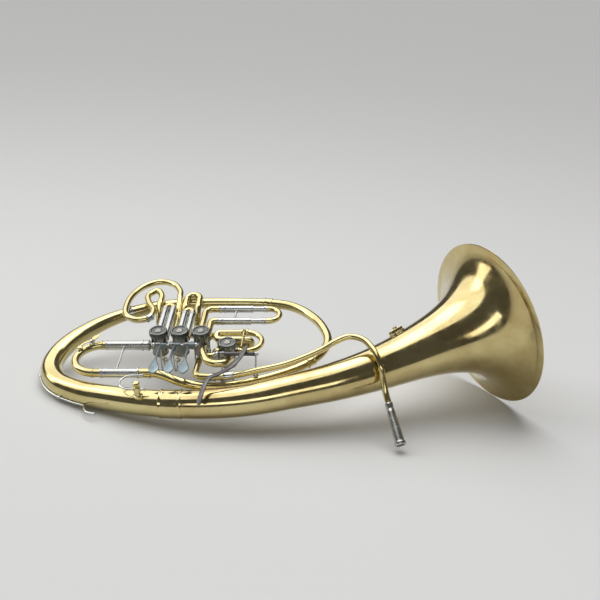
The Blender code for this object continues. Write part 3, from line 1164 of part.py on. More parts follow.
def build_fittings(horn, pipe, back, bell):
    """Ferrule and brace of the mouthpipe, and the lyre holder on the bell."""
    fine = resample(pipe, [lengths(pipe)[-1] * k / 300 for k in range(301)])
    near = min(range(1, 300), key=lambda k: abs(fine[k].x - FERRULE_X))
    axis = fine[near + 1] - fine[near - 1]
    collar_of = band(bmesh.new(), fine[near], axis, LEADPIPE_DIAMETER / 2 + 0.2, MOUTHPIPE_FERRULE_LENGTH, 0.9, 12)
    horn.add("mouthpipe_ferrule", collar_of, NICKEL)
    top = min(fine, key=lambda p: abs(p.x - BRACE_X))
    under = min(back, key=lambda p: abs(p.x - BRACE_X))
    a = Vector((top.x, (top.y + under.y) / 2, under.z + RETURN_DIAMETER / 2 + 2 * FIT))
    b = Vector((top.x, (top.y + under.y) / 2, top.z - LEADPIPE_DIAMETER / 2 - FIT))
    tall = b.z - a.z
    waist, foot = STAY_RADIUS, 2.4 * STAY_RADIUS
    profile = [(0, 0), (0, foot), (0.9, foot), (1.5, waist), (tall - 1.5, waist), (tall - 0.9, foot),
               (tall, foot), (tall, 0)]
    horn.add("mouthpipe_brace", collar(bmesh.new(), a, (0, 0, 1), profile, 10), NICKEL)
    total = lengths(bell)[-1]
    centre, way = at_length(bell, total - HOLDER_BACK)
    side = Vector((-way.y, way.x, 0))
    bars = []
    for along in (-7.0, 7.0):
        radius = bell_outer(HOLDER_BACK - along) + FIT + 1.1
        line = []
        for k in range(5):
            turn = HOLDER_TURN + HOLDER_SPREAD * (k / 2 - 1)
            spoke = side * math.sin(turn) + Vector((0, 0, 1)) * math.cos(turn)
            line.append(centre + way * along + spoke * radius)
        bars.append(strip(bmesh.new(), line, [3.4] * 5, 1.8,
                          side * math.sin(HOLDER_TURN) + Vector((0, 0, 1)) * math.cos(HOLDER_TURN)))
    spoke = side * math.sin(HOLDER_TURN) + Vector((0, 0, 1)) * math.cos(HOLDER_TURN)
    seat = [centre + way * along + spoke * (bell_outer(HOLDER_BACK - along) + FIT + 3.4) for along in (-10.0, 10.0)]
    lean = (seat[1] - seat[0]).normalized()
    socket = strip(bmesh.new(), seat, [6.4, 6.4], 4.6, spoke)
    slot = strip(bmesh.new(), [seat[0] - lean * 2, seat[1] + lean * 2], [3.8, 3.8], 2.0, spoke)
    horn.add("lyre_holder", cut_and_join(socket, bars, [slot]), BRASS)


def mass_centre(pieces):
    """Centre of volume of the pieces, and all their corners, in the plane."""
    total, moment, corners = 0.0, Vector(), []
    for thing in pieces:
        bm = bmesh.new()
        bm.from_mesh(thing.data)
        bmesh.ops.triangulate(bm, faces=bm.faces)
        shift = thing.location
        for face in bm.faces:
            a, b, c = (v.co + shift for v in face.verts)
            volume = a.dot(b.cross(c)) / 6
            total += volume
            moment += (a + b + c) / 4 * volume
        corners += [v.co + shift for v in bm.verts]
        bm.free()
    return moment / total, corners


def settle(horn):
    """Lay the horn on the face of its convex hull that is under its centre of mass."""
    centre, corners = mass_centre(horn.pieces.values())
    hull = bmesh.new()
    for co in corners:
        hull.verts.new(co)
    made = bmesh.ops.convex_hull(hull, input=hull.verts)
    faces = [g for g in made["geom"] if isinstance(g, bmesh.types.BMFace)]
    best = None
    for face in faces:
        face.normal_update()
        normal = face.normal
        if (face.calc_center_median() - centre).dot(normal) < 0:
            normal = -normal
        if normal.z > -0.7:
            continue
        foot = centre + normal * ((face.verts[0].co - centre).dot(normal))
        ring_of = [v.co for v in face.verts]
        signs = [normal.dot((q - p).cross(foot - p)) for p, q in zip(ring_of, ring_of[1:] + ring_of[:1])]
        if all(s >= -1e-12 for s in signs) or all(s <= 1e-12 for s in signs):
            best = normal.copy()
    hull.free()
    turn = best.rotation_difference(Vector((0, 0, -1)))
    placed = [turn @ p for p in corners]
    low = [min(p[i] for p in placed) for i in range(3)]
    high = [max(p[i] for p in placed) for i in range(3)]
    shift = Vector((-(low[0] + high[0]) / 2, -(low[1] + high[1]) / 2, -low[2]))
    horn.plane.rotation_mode = "QUATERNION"
    horn.plane.rotation_quaternion = turn
    horn.plane.location = shift


def main():
    """Build the horn and lay it down."""
    clear_scene()
    horn = Horn()
    back, left, bell = build_branch(horn)
    build_guard(horn, left, bell_outer(lengths(bell)[-1]))
    for index in (1, 2, 3, 4):
        build_valve(horn, index)
        build_bearing(horn, index)
        build_link(horn, index)
    for index in (1, 2, 3):
        build_lever(horn, index)
    build_thumb_lever(horn)
    build_hinges(horn)
    build_main_slide(horn)
    build_water_key(horn)
    build_valve_slides(horn)
    build_coil(horn)
    pipe = build_air_tubes(horn)
    build_hook(horn, left, bell_outer(lengths(bell)[-1]))
    build_fittings(horn, pipe, back, bell)
    settle(horn)
    return horn


if __name__ == "__main__":
    main()
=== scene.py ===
"""Looks of a wagner tuba: a conical brass oval with four rotary valves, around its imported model.

Sizes are millimetres in the horn's own plane, where the valves' axes stand upright: +X runs from the
left bow towards the bell and +Z comes up out of the valve caps.  The plane's place is read from the
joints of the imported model, so every piece lies where its solid does.
"""
import json
import logging
import math
from dataclasses import dataclass, field
from enum import Enum
from typing import Iterable, Optional, Sequence

import bmesh
import bpy
from bmesh.types import BMesh
from mathutils import Matrix, Vector


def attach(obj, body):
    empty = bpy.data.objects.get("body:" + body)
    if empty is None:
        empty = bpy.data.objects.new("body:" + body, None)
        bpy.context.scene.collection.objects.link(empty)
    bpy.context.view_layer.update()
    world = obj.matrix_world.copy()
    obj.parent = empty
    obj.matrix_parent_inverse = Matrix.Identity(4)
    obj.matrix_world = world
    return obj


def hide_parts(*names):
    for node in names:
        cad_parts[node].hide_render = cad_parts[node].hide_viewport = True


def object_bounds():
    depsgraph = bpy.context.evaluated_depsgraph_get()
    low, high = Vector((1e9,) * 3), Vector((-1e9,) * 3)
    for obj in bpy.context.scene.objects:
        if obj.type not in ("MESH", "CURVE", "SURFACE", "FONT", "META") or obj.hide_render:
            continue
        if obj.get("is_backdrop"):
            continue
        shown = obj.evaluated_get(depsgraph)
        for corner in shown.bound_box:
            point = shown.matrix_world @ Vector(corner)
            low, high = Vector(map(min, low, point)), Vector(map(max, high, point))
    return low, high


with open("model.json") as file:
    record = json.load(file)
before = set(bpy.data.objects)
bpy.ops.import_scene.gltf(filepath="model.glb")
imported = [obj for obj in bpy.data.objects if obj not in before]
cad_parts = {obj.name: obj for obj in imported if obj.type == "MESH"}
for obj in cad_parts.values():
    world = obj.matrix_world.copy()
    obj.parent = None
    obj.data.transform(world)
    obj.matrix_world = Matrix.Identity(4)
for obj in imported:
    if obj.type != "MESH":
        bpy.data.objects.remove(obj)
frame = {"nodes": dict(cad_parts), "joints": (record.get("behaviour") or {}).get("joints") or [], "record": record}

MM = 0.001
FIT = 0.3           # gap between a piece and what carries it
WALL = 0.8          # thickness of the drawn tubes
ROOT = "horn"
X, Y, Z = Vector((1, 0, 0)), Vector((0, 1, 0)), Vector((0, 0, 1))
LOG = logging.getLogger("wagner_tuba")


class Slot(Enum):
    """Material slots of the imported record."""

    BRASS = "lacquered_brass"
    NICKEL = "nickel_silver"
    STEEL = "spring_steel"


# Lines and curves


def spline(points: Sequence[Sequence[float]], step: float) -> list[Vector]:
    """Sample a centripetal Catmull-Rom curve.

    Args:
        points: The points that the curve passes through.
        step: Wished distance between samples.

    Returns:
        Points along the curve, both ends included.
    """
    knots = [Vector(p) for p in points]
    knots = [2 * knots[0] - knots[1]] + knots + [2 * knots[-1] - knots[-2]]
    out: list[Vector] = []
    for a, b, c, d in zip(knots, knots[1:], knots[2:], knots[3:]):
        count = max(1, round((c - b).length / step))
        t1 = (b - a).length ** 0.5
        t2 = t1 + (c - b).length ** 0.5
        t3 = t2 + (d - c).length ** 0.5
        for k in range(count):
            t = t1 + (t2 - t1) * k / count
            p = a + (b - a) * (t / t1)
            q = b + (c - b) * ((t - t1) / (t2 - t1))
            r = c + (d - c) * ((t - t2) / (t3 - t2))
            u = p + (q - p) * (t / t2)
            v = q + (r - q) * ((t - t1) / (t3 - t1))
            out.append(u + (v - u) * ((t - t1) / (t2 - t1)))
    out.append(knots[-2])
    return out


def bent(corners: Sequence[Sequence[float]], radius: float, turn: float = 6.0) -> list[Vector]:
    """Join straight runs by arcs of one bend radius.

    Args:
        corners: Corner points of the run.
        radius: Bend radius at each inner corner.
        turn: Degrees of bend between samples.

    Returns:
        Points along the bent line.
    """
    pts = [Vector(p) for p in corners]
    out = [pts[0]]
    for before, corner, after in zip(pts, pts[1:], pts[2:]):
        a = (before - corner).normalized()
        b = (after - corner).normalized()
        half = a.angle(b) / 2
        back = min(radius / math.tan(half), 0.49 * (before - corner).length, 0.49 * (after - corner).length)
        bend = back * math.tan(half)
        centre = corner + (a + b).normalized() * (bend / math.sin(half))
        start, end = corner + a * back, corner + b * back
        swing = math.pi - 2 * half
        count = max(1, math.ceil(math.degrees(swing) / turn))
        u, w = start - centre, end - centre
        for k in range(count + 1):
            f = k / count
            out.append(centre + (u * math.sin((1 - f) * swing) + w * math.sin(f * swing)) / math.sin(swing))
    out.append(pts[-1])
    return out


def lengths(points: Sequence[Vector]) -> list[float]:
    """Return the distance of each point along a line.

    Args:
        points: Points of the line.

    Returns:
        One length a point, the first of them zero.
    """
    out = [0.0]
    for a, b in zip(points, points[1:]):
        out.append(out[-1] + (b - a).length)
    return out


def at_length(points: Sequence[Vector], distance: float) -> tuple[Vector, Vector]:
    """Return the point and the direction at a distance along a line.

    Args:
        points: Points of the line.
        distance: Distance from its first point.

    Returns:
        The point and the direction there.
    """
    for a, b in zip(points, points[1:]):
        if distance <= (b - a).length:
            return a + (b - a).normalized() * distance, (b - a).normalized()
        distance -= (b - a).length
    return points[-1], (points[-1] - points[-2]).normalized()


def straight(a: Vector, b: Vector, count: int) -> list[Vector]:
    """Return evenly spaced points of a straight line.

    Args:
        a: First end.
        b: Second end.
        count: Number of steps.

    Returns:
        The points, both ends included.
    """
    return [a + (b - a) * (k / count) for k in range(count + 1)]


def half_turn(centre: Vector, side: Vector, way: Vector, count: int) -> list[Vector]:
    """Return the points of a half circle between its two ends.

    Args:
        centre: Centre of the circle.
        side: From the centre to the far end; the near end lies opposite.
        way: From the centre to the middle of the arc.
        count: Number of steps.

    Returns:
        The points, without the ends.
    """
    angles = [math.pi * k / count for k in range(1, count)]
    return [centre - side * math.cos(a) + way * math.sin(a) for a in angles]


def even(points: Sequence[Vector], step: float) -> list[Vector]:
    """Resample a line at even distances of about step.

    Args:
        points: Points of the line.
        step: Distance between the new points.

    Returns:
        The new points.
    """
    total = lengths(points)[-1]
    count = max(2, round(total / step))
    return [at_length(points, total * k / count)[0] for k in range(count + 1)]


def carried_frames(points: Sequence[Vector], ends: tuple) -> list[tuple[Vector, Vector, Vector]]:
    """Carry two cross directions along a line without twist.

    Args:
        points: The line.
        ends: Directions of the first and the last point, or None for each.

    Returns:
        Tangent, side and up at each point.
    """
    tangents = []
    for k in range(len(points)):
        a = points[max(0, k - 1)]
        b = points[min(len(points) - 1, k + 1)]
        tangents.append((b - a).normalized())
    for k, way in zip((0, -1), ends):
        if way is not None:
            tangents[k] = Vector(way).normalized()
    up = Y if abs(tangents[0].z) > 0.9 else Z
    side = tangents[0].cross(up).normalized()
    out = []
    for tangent in tangents:
        side = (side - tangent * side.dot(tangent)).normalized()
        out.append((tangent, side, side.cross(tangent)))
    return out


# Meshes


def skin(bm: BMesh, first: Sequence, second: Sequence) -> None:
    """Make faces between two rings of as many vertices.

    Args:
        bm: Mesh to add to.
        first: Vertices of one ring.
        second: Vertices of the next ring.
    """
    n = len(first)
    for k in range(n):
        bm.faces.new((first[k], first[(k + 1) % n], second[(k + 1) % n], second[k]))


def sweep(bm: BMesh, points: Sequence[Vector], radii: float | Sequence[float], sides: int = 28,
          bore: Optional[Sequence[float]] = None, ends: tuple = (None, None)) -> BMesh:
    """Add a round bar or an open tube along a line.

    Args:
        bm: Mesh to add to.
        points: Centre line.
        radii: Outer radius, one or one per point.
        sides: Facets round the tube.
        bore: Inner radii for an open tube, or None for a bar with domed ends.
        ends: Directions of the two ends, or None for each.

    Returns:
        The same mesh.
    """
    if isinstance(radii, (int, float)):
        radii = [float(radii)] * len(points)
    cross = carried_frames(points, ends)

    def ring(k: int, radius: float, shift: float = 0.0) -> list:
        """Return new vertices round a point of the line.

        Args:
            k: Number of the point.
            radius: Radius of the ring.
            shift: Distance of its centre past the point.

        Returns:
            The ring's vertices.
        """
        tangent, side, up = cross[k]
        centre = points[k] + tangent * shift
        out = []
        for j in range(sides):
            angle = 2 * math.pi * j / sides
            spoke = side * (radius * math.cos(angle)) + up * (radius * math.sin(angle))
            out.append(bm.verts.new(centre + spoke))
        return out

    outer = [ring(k, r) for k, r in enumerate(radii)]
    for a, b in zip(outer, outer[1:]):
        skin(bm, a, b)
    if bore is None:
        for k, way in ((0, -1), (len(points) - 1, 1)):
            edge = outer[k]
            for share, shift in ((0.92, 0.22), (0.7, 0.36)):
                dome = ring(k, radii[k] * share, way * radii[k] * shift)
                skin(bm, edge, dome)
                edge = dome
            bm.faces.new(edge)
        return bm
    inner = [ring(k, r) for k, r in enumerate(bore)]
    for a, b in zip(inner, inner[1:]):
        skin(bm, a, b)
    skin(bm, outer[0], inner[0])
    skin(bm, outer[-1], inner[-1])
    return bm


def pipe(points: Sequence[Vector], radius: float | Sequence[float], wall: float = WALL, sides: int = 28,
         ends: tuple = (None, None)) -> BMesh:
    """Make an open tube of one wall along a line.

    Args:
        points: Centre line.
        radius: Outer radius, one or one per point.
        wall: Thickness of the wall.
        sides: Facets round the tube.
        ends: Directions of the two ends, or None for each.

    Returns:
        The new mesh.
    """
    radii = [float(radius)] * len(points) if isinstance(radius, (int, float)) else list(radius)
    return sweep(bmesh.new(), points, radii, sides, [r - wall for r in radii], ends)


def rounded(profile: Sequence[tuple[float, float]], fillet: float,
            steps: int = 3) -> list[tuple[float, float]]:
    """Round the corners of a turned profile.

    Args:
        profile: Points of (distance along the axis, radius).
        fillet: Radius wished at each corner off the axis.
        steps: Segments of each arc.

    Returns:
        The profile with an arc at each corner.
    """
    pts = [Vector((a, r, 0)) for a, r in profile]
    out: list[tuple[float, float]] = []
    n = len(pts)
    closed = profile[0][1] > 0 and profile[-1][1] > 0
    for k, p in enumerate(pts):
        if p.y <= 0 or (not closed and k in (0, n - 1)):
            out.append((p.x, p.y))
            continue
        a, b = pts[k - 1] - p, pts[(k + 1) % n] - p
        reach = min(fillet, 0.42 * a.length, 0.42 * b.length)
        start, end = p + a.normalized() * reach, p + b.normalized() * reach
        for j in range(steps + 1):
            f = j / steps
            q = start * (1 - f) ** 2 + p * (2 * f * (1 - f)) + end * f ** 2
            out.append((q.x, q.y))
    return out


def turned(bm: BMesh, centre: Sequence[float], axis: Sequence[float], profile: Sequence[tuple],
           sides: int = 40, knurl: float = 0.0, span: tuple[float, float] = (0.0, 0.0)) -> BMesh:
    """Turn a profile about an axis, with a knurled stretch if wished.

    Args:
        bm: Mesh to add to.
        centre: Origin of the profile.
        axis: Direction of the axis.
        profile: Points of (distance along the axis, radius); a ring if both ends are off the axis.
        sides: Facets round the axis.
        knurl: Depth of the grooves cut into every other facet.
        span: Distances along the axis between which the grooves run.

    Returns:
        The same mesh.
    """
    way = Vector(axis).normalized()
    up = Z if abs(way.z) < 0.9 else Y
    side = way.cross(up).normalized()
    up = side.cross(way)
    origin = Vector(centre)
    loops = []
    for along, radius in profile:
        if radius == 0:
            loops.append([bm.verts.new(origin + way * along)] * sides)
            continue
        loop = []
        for k in range(sides):
            angle = 2 * math.pi * k / sides
            cut = knurl if knurl and k % 2 and span[0] <= along <= span[1] else 0.0
            spoke = side * math.cos(angle) + up * math.sin(angle)
            loop.append(bm.verts.new(origin + way * along + spoke * (radius - cut)))
        loops.append(loop)
    pairs = list(zip(loops, loops[1:]))
    if profile[0][1] and profile[-1][1]:
        pairs.append((loops[-1], loops[0]))
    for a, b in pairs:
        for k in range(sides):
            j = (k + 1) % sides
            corners = list(dict.fromkeys((a[k], a[j], b[j], b[k])))
            if len(corners) > 2:
                bm.faces.new(corners)
    return bm


def washer(bm: BMesh, at: Sequence[float], way: Sequence[float], inner: float, outer: float,
           length: float, fillet: float, sides: int) -> BMesh:
    """Add a plain ring with rounded edges.

    Args:
        bm: Mesh to add to.
        at: Middle of its near face.
        way: Direction of its axis.
        inner: Radius of its hole.
        outer: Radius of its outside.
        length: Length along the axis.
        fillet: Radius of its edges.
        sides: Facets round the axis.

    Returns:
        The same mesh.
    """
    profile = [(0, inner), (0, outer), (length, outer), (length, inner)]
    return turned(bm, at, way, rounded(profile, fillet), sides)


def bar(bm: BMesh, points: Sequence[Vector], widths: Sequence[float], thickness: float,
        level: Vector = Z, crown: float = 0.0) -> BMesh:
    """Add a flat bar with rounded edges that follows a line.

    Args:
        bm: Mesh to add to.
        points: Centre line.
        widths: Width at each point.
        thickness: Thickness across the bar.
        level: Direction that the flat faces look in.
        crown: Height by which the middle of the upper face stands over its edges.

    Returns:
        The same mesh.
    """
    outline = 10
    rings = []
    for k, p in enumerate(points):
        a = points[max(0, k - 1)]
        b = points[min(len(points) - 1, k + 1)]
        tangent = (b - a).normalized()
        side = tangent.cross(level).normalized()
        up = side.cross(tangent).normalized()
        half, thick = widths[k] / 2, thickness / 2
        edge = min(thick, half) * 0.7
        loop = []
        for j in range(4 * outline):
            angle = 2 * math.pi * (j + 0.5) / (4 * outline)
            c, s = math.cos(angle), math.sin(angle)
            reach = 1 / (abs(c) ** 8 + abs(s) ** 8) ** 0.125
            x = max(-half, min(half, c * reach * half))
            swell = crown * max(0.0, 1 - (x / half) ** 2) if s > 0 else 0.0
            z = s * reach * thick * (1 - 0.35 * max(0.0, (abs(x) - half + edge) / edge) ** 2)
            loop.append(bm.verts.new(p + side * x + up * (z + swell)))
        rings.append(loop)
    for a, b in zip(rings, rings[1:]):
        skin(bm, a, b)
    bm.faces.new(rings[0])
    bm.faces.new(rings[-1])
    return bm


def helix(bm: BMesh, start: Vector, axis: Vector, radius: float, length: float, turns: float,
          wire: float) -> BMesh:
    """Add a wound spring.

    Args:
        bm: Mesh to add to.
        start: Centre of its first turn.
        axis: Direction of its axis.
        radius: Radius of the wire's centre line.
        length: Length along the axis.
        turns: Number of turns.
        wire: Radius of the wire.

    Returns:
        The same mesh.
    """
    way = axis.normalized()
    up = Z if abs(way.z) < 0.9 else Y
    side = way.cross(up).normalized()
    up = side.cross(way)
    per_turn = 14
    count = round(turns * per_turn)
    line = []
    for k in range(count + 1):
        angle = 2 * math.pi * k / per_turn
        spoke = side * math.cos(angle) + up * math.sin(angle)
        line.append(start + way * (length * k / count) + spoke * radius)
    return sweep(bm, line, wire, 8)


# Finishes


def node(tree: bpy.types.NodeTree, kind: str, inputs: Optional[dict] = None,
         **values: object) -> bpy.types.Node:
    """Add a shader node to a tree.

    Args:
        tree: Node tree to add to.
        kind: Type of the node.
        inputs: Value, or socket to link from, for each input that is given.
        values: Properties of the node by name.

    Returns:
        The new node.
    """
    made = tree.nodes.new(kind)
    for name, value in values.items():
        setattr(made, name, value)
    feed(tree, made, inputs or {})
    return made


def feed(tree: bpy.types.NodeTree, made: bpy.types.Node, inputs: dict) -> None:
    """Set or link the inputs of a node.

    Args:
        tree: Node tree that it is in.
        made: The node.
        inputs: Value, or socket to link from, for each input that is given.
    """
    for name, value in inputs.items():
        if isinstance(value, bpy.types.NodeSocket):
            tree.links.new(value, made.inputs[name])
        else:
            made.inputs[name].default_value = value


def new_material(name: str) -> tuple[bpy.types.Material, bpy.types.NodeTree, bpy.types.Node]:
    """Make a material with a plain shader.

    Args:
        name: Name of the material.

    Returns:
        The material, its node tree and its shader.
    """
    made = bpy.data.materials.new(name)
    made.use_nodes = True
    return made, made.node_tree, made.node_tree.nodes["Principled BSDF"]


def ramp(tree: bpy.types.NodeTree, factor: bpy.types.NodeSocket, low: float, high: float,
         out_low: float = 0.0, out_high: float = 1.0) -> bpy.types.NodeSocket:
    """Map a factor between two values, clamped.

    Args:
        tree: Node tree to add to.
        factor: Socket to map.
        low: Factor that gives out_low.
        high: Factor that gives out_high.
        out_low: Value at the low end.
        out_high: Value at the high end.

    Returns:
        The mapped value's socket.
    """
    made = node(tree, "ShaderNodeMapRange", {"Value": factor, "From Min": low, "From Max": high,
                                             "To Min": out_low, "To Max": out_high}, clamp=True)
    return made.outputs["Result"]


def metal_surface_group() -> bpy.types.NodeTree:
    """Return the group that gives a drawn metal its uneven colour, gloss and fine lines, made once.

    Returns:
        A node group with the inputs Colour, Deep Colour, Roughness and Wear, and the outputs Colour,
        Roughness and Height.
    """
    name = "drawn_metal_surface"
    found = bpy.data.node_groups.get(name)
    if found:
        return found
    group = bpy.data.node_groups.new(name, "ShaderNodeTree")
    for label, kind, value in (("Colour", "NodeSocketColor", (0.8, 0.6, 0.3, 1)),
                               ("Deep Colour", "NodeSocketColor", (0.5, 0.3, 0.1, 1)),
                               ("Roughness", "NodeSocketFloat", 0.2), ("Wear", "NodeSocketFloat", 0.5)):
        socket = group.interface.new_socket(label, in_out="INPUT", socket_type=kind)
        socket.default_value = value
    for label, kind in (("Colour", "NodeSocketColor"), ("Roughness", "NodeSocketFloat"),
                        ("Height", "NodeSocketFloat")):
        group.interface.new_socket(label, in_out="OUTPUT", socket_type=kind)
    given = node(group, "NodeGroupInput").outputs
    spot = node(group, "ShaderNodeTexCoord").outputs["Object"]

    cloud = node(group, "ShaderNodeTexNoise",
                 {"Vector": spot, "Scale": 14.0, "Detail": 4.0, "Roughness": 0.62})
    tone = ramp(group, cloud.outputs["Fac"], 0.40, 0.70)
    # Random darker patches: stains, and on the bell also a painted warm reflection.
    stain_and_reflection = node(group, "ShaderNodeMath", {0: tone, 1: given["Wear"]}, operation="MULTIPLY")
    mixed = node(group, "ShaderNodeMix", {"Factor": stain_and_reflection.outputs[0], "A": given["Colour"],
                                          "B": given["Deep Colour"]}, data_type="RGBA")

    smear = node(group, "ShaderNodeTexNoise",
                 {"Vector": spot, "Scale": 60.0, "Detail": 6.0, "Distortion": 0.8})
    dull = ramp(group, smear.outputs["Fac"], 0.35, 0.75, 0.75, 1.7)
    gloss = node(group, "ShaderNodeMath", {0: given["Roughness"], 1: dull}, operation="MULTIPLY")

    stretch = node(group, "ShaderNodeMapping", {"Scale": (180.0, 900.0, 900.0), "Vector": spot})
    hair = node(group, "ShaderNodeTexNoise",
                {"Vector": stretch.outputs["Vector"], "Scale": 1.0, "Detail": 2.0})
    dent = node(group, "ShaderNodeTexNoise", {"Vector": spot, "Scale": 32.0, "Detail": 1.0})
    both = node(group, "ShaderNodeMix", {"Factor": 0.12, "A": dent.outputs["Fac"], "B": hair.outputs["Fac"]},
                data_type="FLOAT")
    node(group, "NodeGroupOutput", {"Colour": mixed.outputs["Result"], "Roughness": gloss.outputs[0],
                                    "Height": both.outputs["Result"]})
    return group


@dataclass(frozen=True)
class MetalFinish:
    """A drawn or turned metal: colour, colour of its deeper stains (on the bell also a painted warm reflection),
    gloss and lacquer.
    """

    name: str
    colour: tuple[float, float, float]
    deep: tuple[float, float, float]
    roughness: float
    wear: float
    coat: float = 0.0
    bump: float = 0.00004
    metallic: float = 1.0
    coat_roughness: float = 0.05

    def material(self) -> bpy.types.Material:
        """Return this finish's material, made once.

        Returns:
            The material.
        """
        found = bpy.data.materials.get(self.name)
        if found:
            return found
        made, tree, shader = new_material(self.name)
        surface = node(tree, "ShaderNodeGroup", node_tree=metal_surface_group())
        feed(tree, surface, {"Colour": (*self.colour, 1), "Deep Colour": (*self.deep, 1),
                             "Roughness": self.roughness, "Wear": self.wear})
        bump = node(tree, "ShaderNodeBump", {"Strength": 0.5, "Distance": self.bump,
                                             "Height": surface.outputs["Height"]})
        feed(tree, shader, {"Base Color": surface.outputs["Colour"],
                            "Roughness": surface.outputs["Roughness"],
                            "Normal": bump.outputs["Normal"], "Metallic": self.metallic,
                            "Coat Weight": self.coat, "Coat Roughness": self.coat_roughness})
        made.diffuse_color = (*self.colour, 1)
        return made


@dataclass(frozen=True)
class CorkFinish:
    """The cork of the stop bumpers."""

    name: str = "stop_cork"
    colour: tuple[float, float, float] = (0.36, 0.20, 0.09)
    roughness: float = 0.9
    grain: float = 900.0

    def material(self) -> bpy.types.Material:
        """Return the cork's material, made once.

        Returns:
            The material.
        """
        found = bpy.data.materials.get(self.name)
        if found:
            return found
        made, tree, shader = new_material(self.name)
        spot = node(tree, "ShaderNodeTexCoord").outputs["Object"]
        grain = node(tree, "ShaderNodeTexVoronoi", {"Vector": spot, "Scale": self.grain})
        dark = tuple(c * 0.5 for c in self.colour)
        shade = node(tree, "ShaderNodeMix", {"A": (*dark, 1), "B": (*self.colour, 1),
                                             "Factor": grain.outputs["Distance"]}, data_type="RGBA")
        feed(tree, shader, {"Base Color": shade.outputs["Result"], "Roughness": self.roughness})
        made.diffuse_color = (*self.colour, 1)
        return made


BRASS = MetalFinish("lacquered_brass_bright", (0.70, 0.60, 0.29), (0.46, 0.36, 0.12), 0.14, 0.6, 0.5)
# The bell's warmer deep colour in its random patches also paints the warm reflections of brass on brass.
BELL_BRASS = MetalFinish("lacquered_brass_bell", (0.68, 0.57, 0.27), (0.42, 0.29, 0.10), 0.13, 0.75, 0.5)
# A darker copy of nickel silver: painted shade and dark reflection on the casings, the caps' raised centres and
# the legs of slides 1 and 2.
SHADED_NICKEL = MetalFinish("nickel_silver_painted_shade", (0.32, 0.32, 0.29), (0.20, 0.20, 0.17), 0.20, 0.5)
# Caps: nickel silver darkened to paint the dark reflection over them.
CAP_NICKEL = MetalFinish("nickel_silver_caps_painted_dark", (0.20, 0.21, 0.205), (0.12, 0.13, 0.125), 0.20, 0.5)
NICKEL = MetalFinish("nickel_silver_drawn", (0.60, 0.61, 0.59), (0.42, 0.42, 0.38), 0.20, 0.5, 0.1)
# Dark bluish nickel for the touches: painted dark bluish reflection.
TOUCH_NICKEL = MetalFinish("nickel_silver_touches", (0.22, 0.27, 0.29), (0.14, 0.17, 0.18), 0.38, 0.5)
# Very dark nickel for the thumb lever: painted shade.
DARK_NICKEL = MetalFinish("nickel_silver_painted_dark_shade", (0.13, 0.125, 0.125), (0.08, 0.075, 0.075), 0.36, 0.5)
# Cap rings: near-black colour that paints the dark reflection in the ring round each cap's centre.
DARK_STEEL = MetalFinish("screw_rings_painted_dark", (0.16, 0.16, 0.15), (0.08, 0.08, 0.07), 0.34, 0.5)
STEEL = MetalFinish("bright_spring_steel", (0.58, 0.58, 0.58), (0.38, 0.37, 0.35), 0.24, 0.5)
CORK = CorkFinish()
CAD_FINISH = {Slot.BRASS.value: BRASS, Slot.NICKEL.value: NICKEL, Slot.STEEL.value: STEEL}


# The horn's plane and the bench that makes its pieces


def shown(name: str, data: bpy.types.ID) -> bpy.types.Object:
    """Put new data in the scene.

    Args:
        name: Name of the object.
        data: Its mesh, lamp or camera.

    Returns:
        The object.
    """
    piece = bpy.data.objects.new(name, data)
    bpy.context.scene.collection.objects.link(piece)
    return piece


@dataclass
class Bench:
    """Places finished meshes in the horn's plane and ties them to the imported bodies."""

    anchor: tuple[float, float, float] = (-187.0, -138.0, 0.0)
    plane: Matrix = field(default_factory=Matrix)

    def __post_init__(self) -> None:
        """Read the plane from the first valve's joint and the main slide's."""
        joints = {j["name"]: j for j in frame["joints"]}
        valve, slide = joints["valve_1_turn"], joints["main_slide_pull"]
        up = Vector(valve["axis"]).normalized()
        along = -Vector(slide["axis"]).normalized()
        across = up.cross(along).normalized()
        turn = Matrix((along, across, up)).transposed()
        origin = Vector(valve["pos_m"]) - turn @ (Vector(self.anchor) * MM)
        self.plane = Matrix.Translation(origin) @ turn.to_4x4()

    def add(self, name: str, bm: BMesh, finish: object, body: str = ROOT,
            stands_for: Iterable[str] = (), sharp: float = 38.0) -> bpy.types.Object:
        """Make a piece from a mesh in millimetres of the plane.

        Args:
            name: Name of the piece.
            bm: Its mesh, which is used up.
            finish: Finish with a material method.
            body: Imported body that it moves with.
            stands_for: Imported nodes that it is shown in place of.
            sharp: Angle in degrees above which an edge stays sharp.

        Returns:
            The piece.
        """
        bmesh.ops.recalc_face_normals(bm, faces=bm.faces)
        bm.transform(self.plane @ Matrix.Scale(MM, 4))
        mesh = bpy.data.meshes.new(name)
        bm.to_mesh(mesh)
        bm.free()
        mesh.shade_smooth()
        mesh.set_sharp_from_angle(angle=math.radians(sharp))
        mesh.materials.append(finish.material())
        piece = shown(name, mesh)
        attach(piece, body)
        if stands_for:
            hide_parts(*stands_for)
        LOG.info("%s: %d faces on %s", name, len(mesh.polygons), body)
        return piece


def ferrule(bm: BMesh, centre: Vector, axis: Vector, bore: float, length: float,
            thickness: float = 1.0, bead: float = 0.7) -> BMesh:
    """Add a ferrule with a rounded bead at each end.

    Args:
        bm: Mesh to add to.
        centre: Middle of the ferrule.
        axis: Direction of the tube.
        bore: Radius of the tube that it goes round.
        length: Length along the tube.
        thickness: Wall between the beads.
        bead: Height of the beads over the wall.

    Returns:
        The same mesh.
    """
    h = length / 2
    low, high = bore + 0.1, bore + thickness
    profile = [(-h, low), (-h, high + bead), (-h + 1.7, high + bead), (-h + 2.2, high),
               (h - 2.2, high), (h - 1.7, high + bead), (h, high + bead), (h, low)]
    return turned(bm, centre, axis, rounded(profile, 0.5), 48)


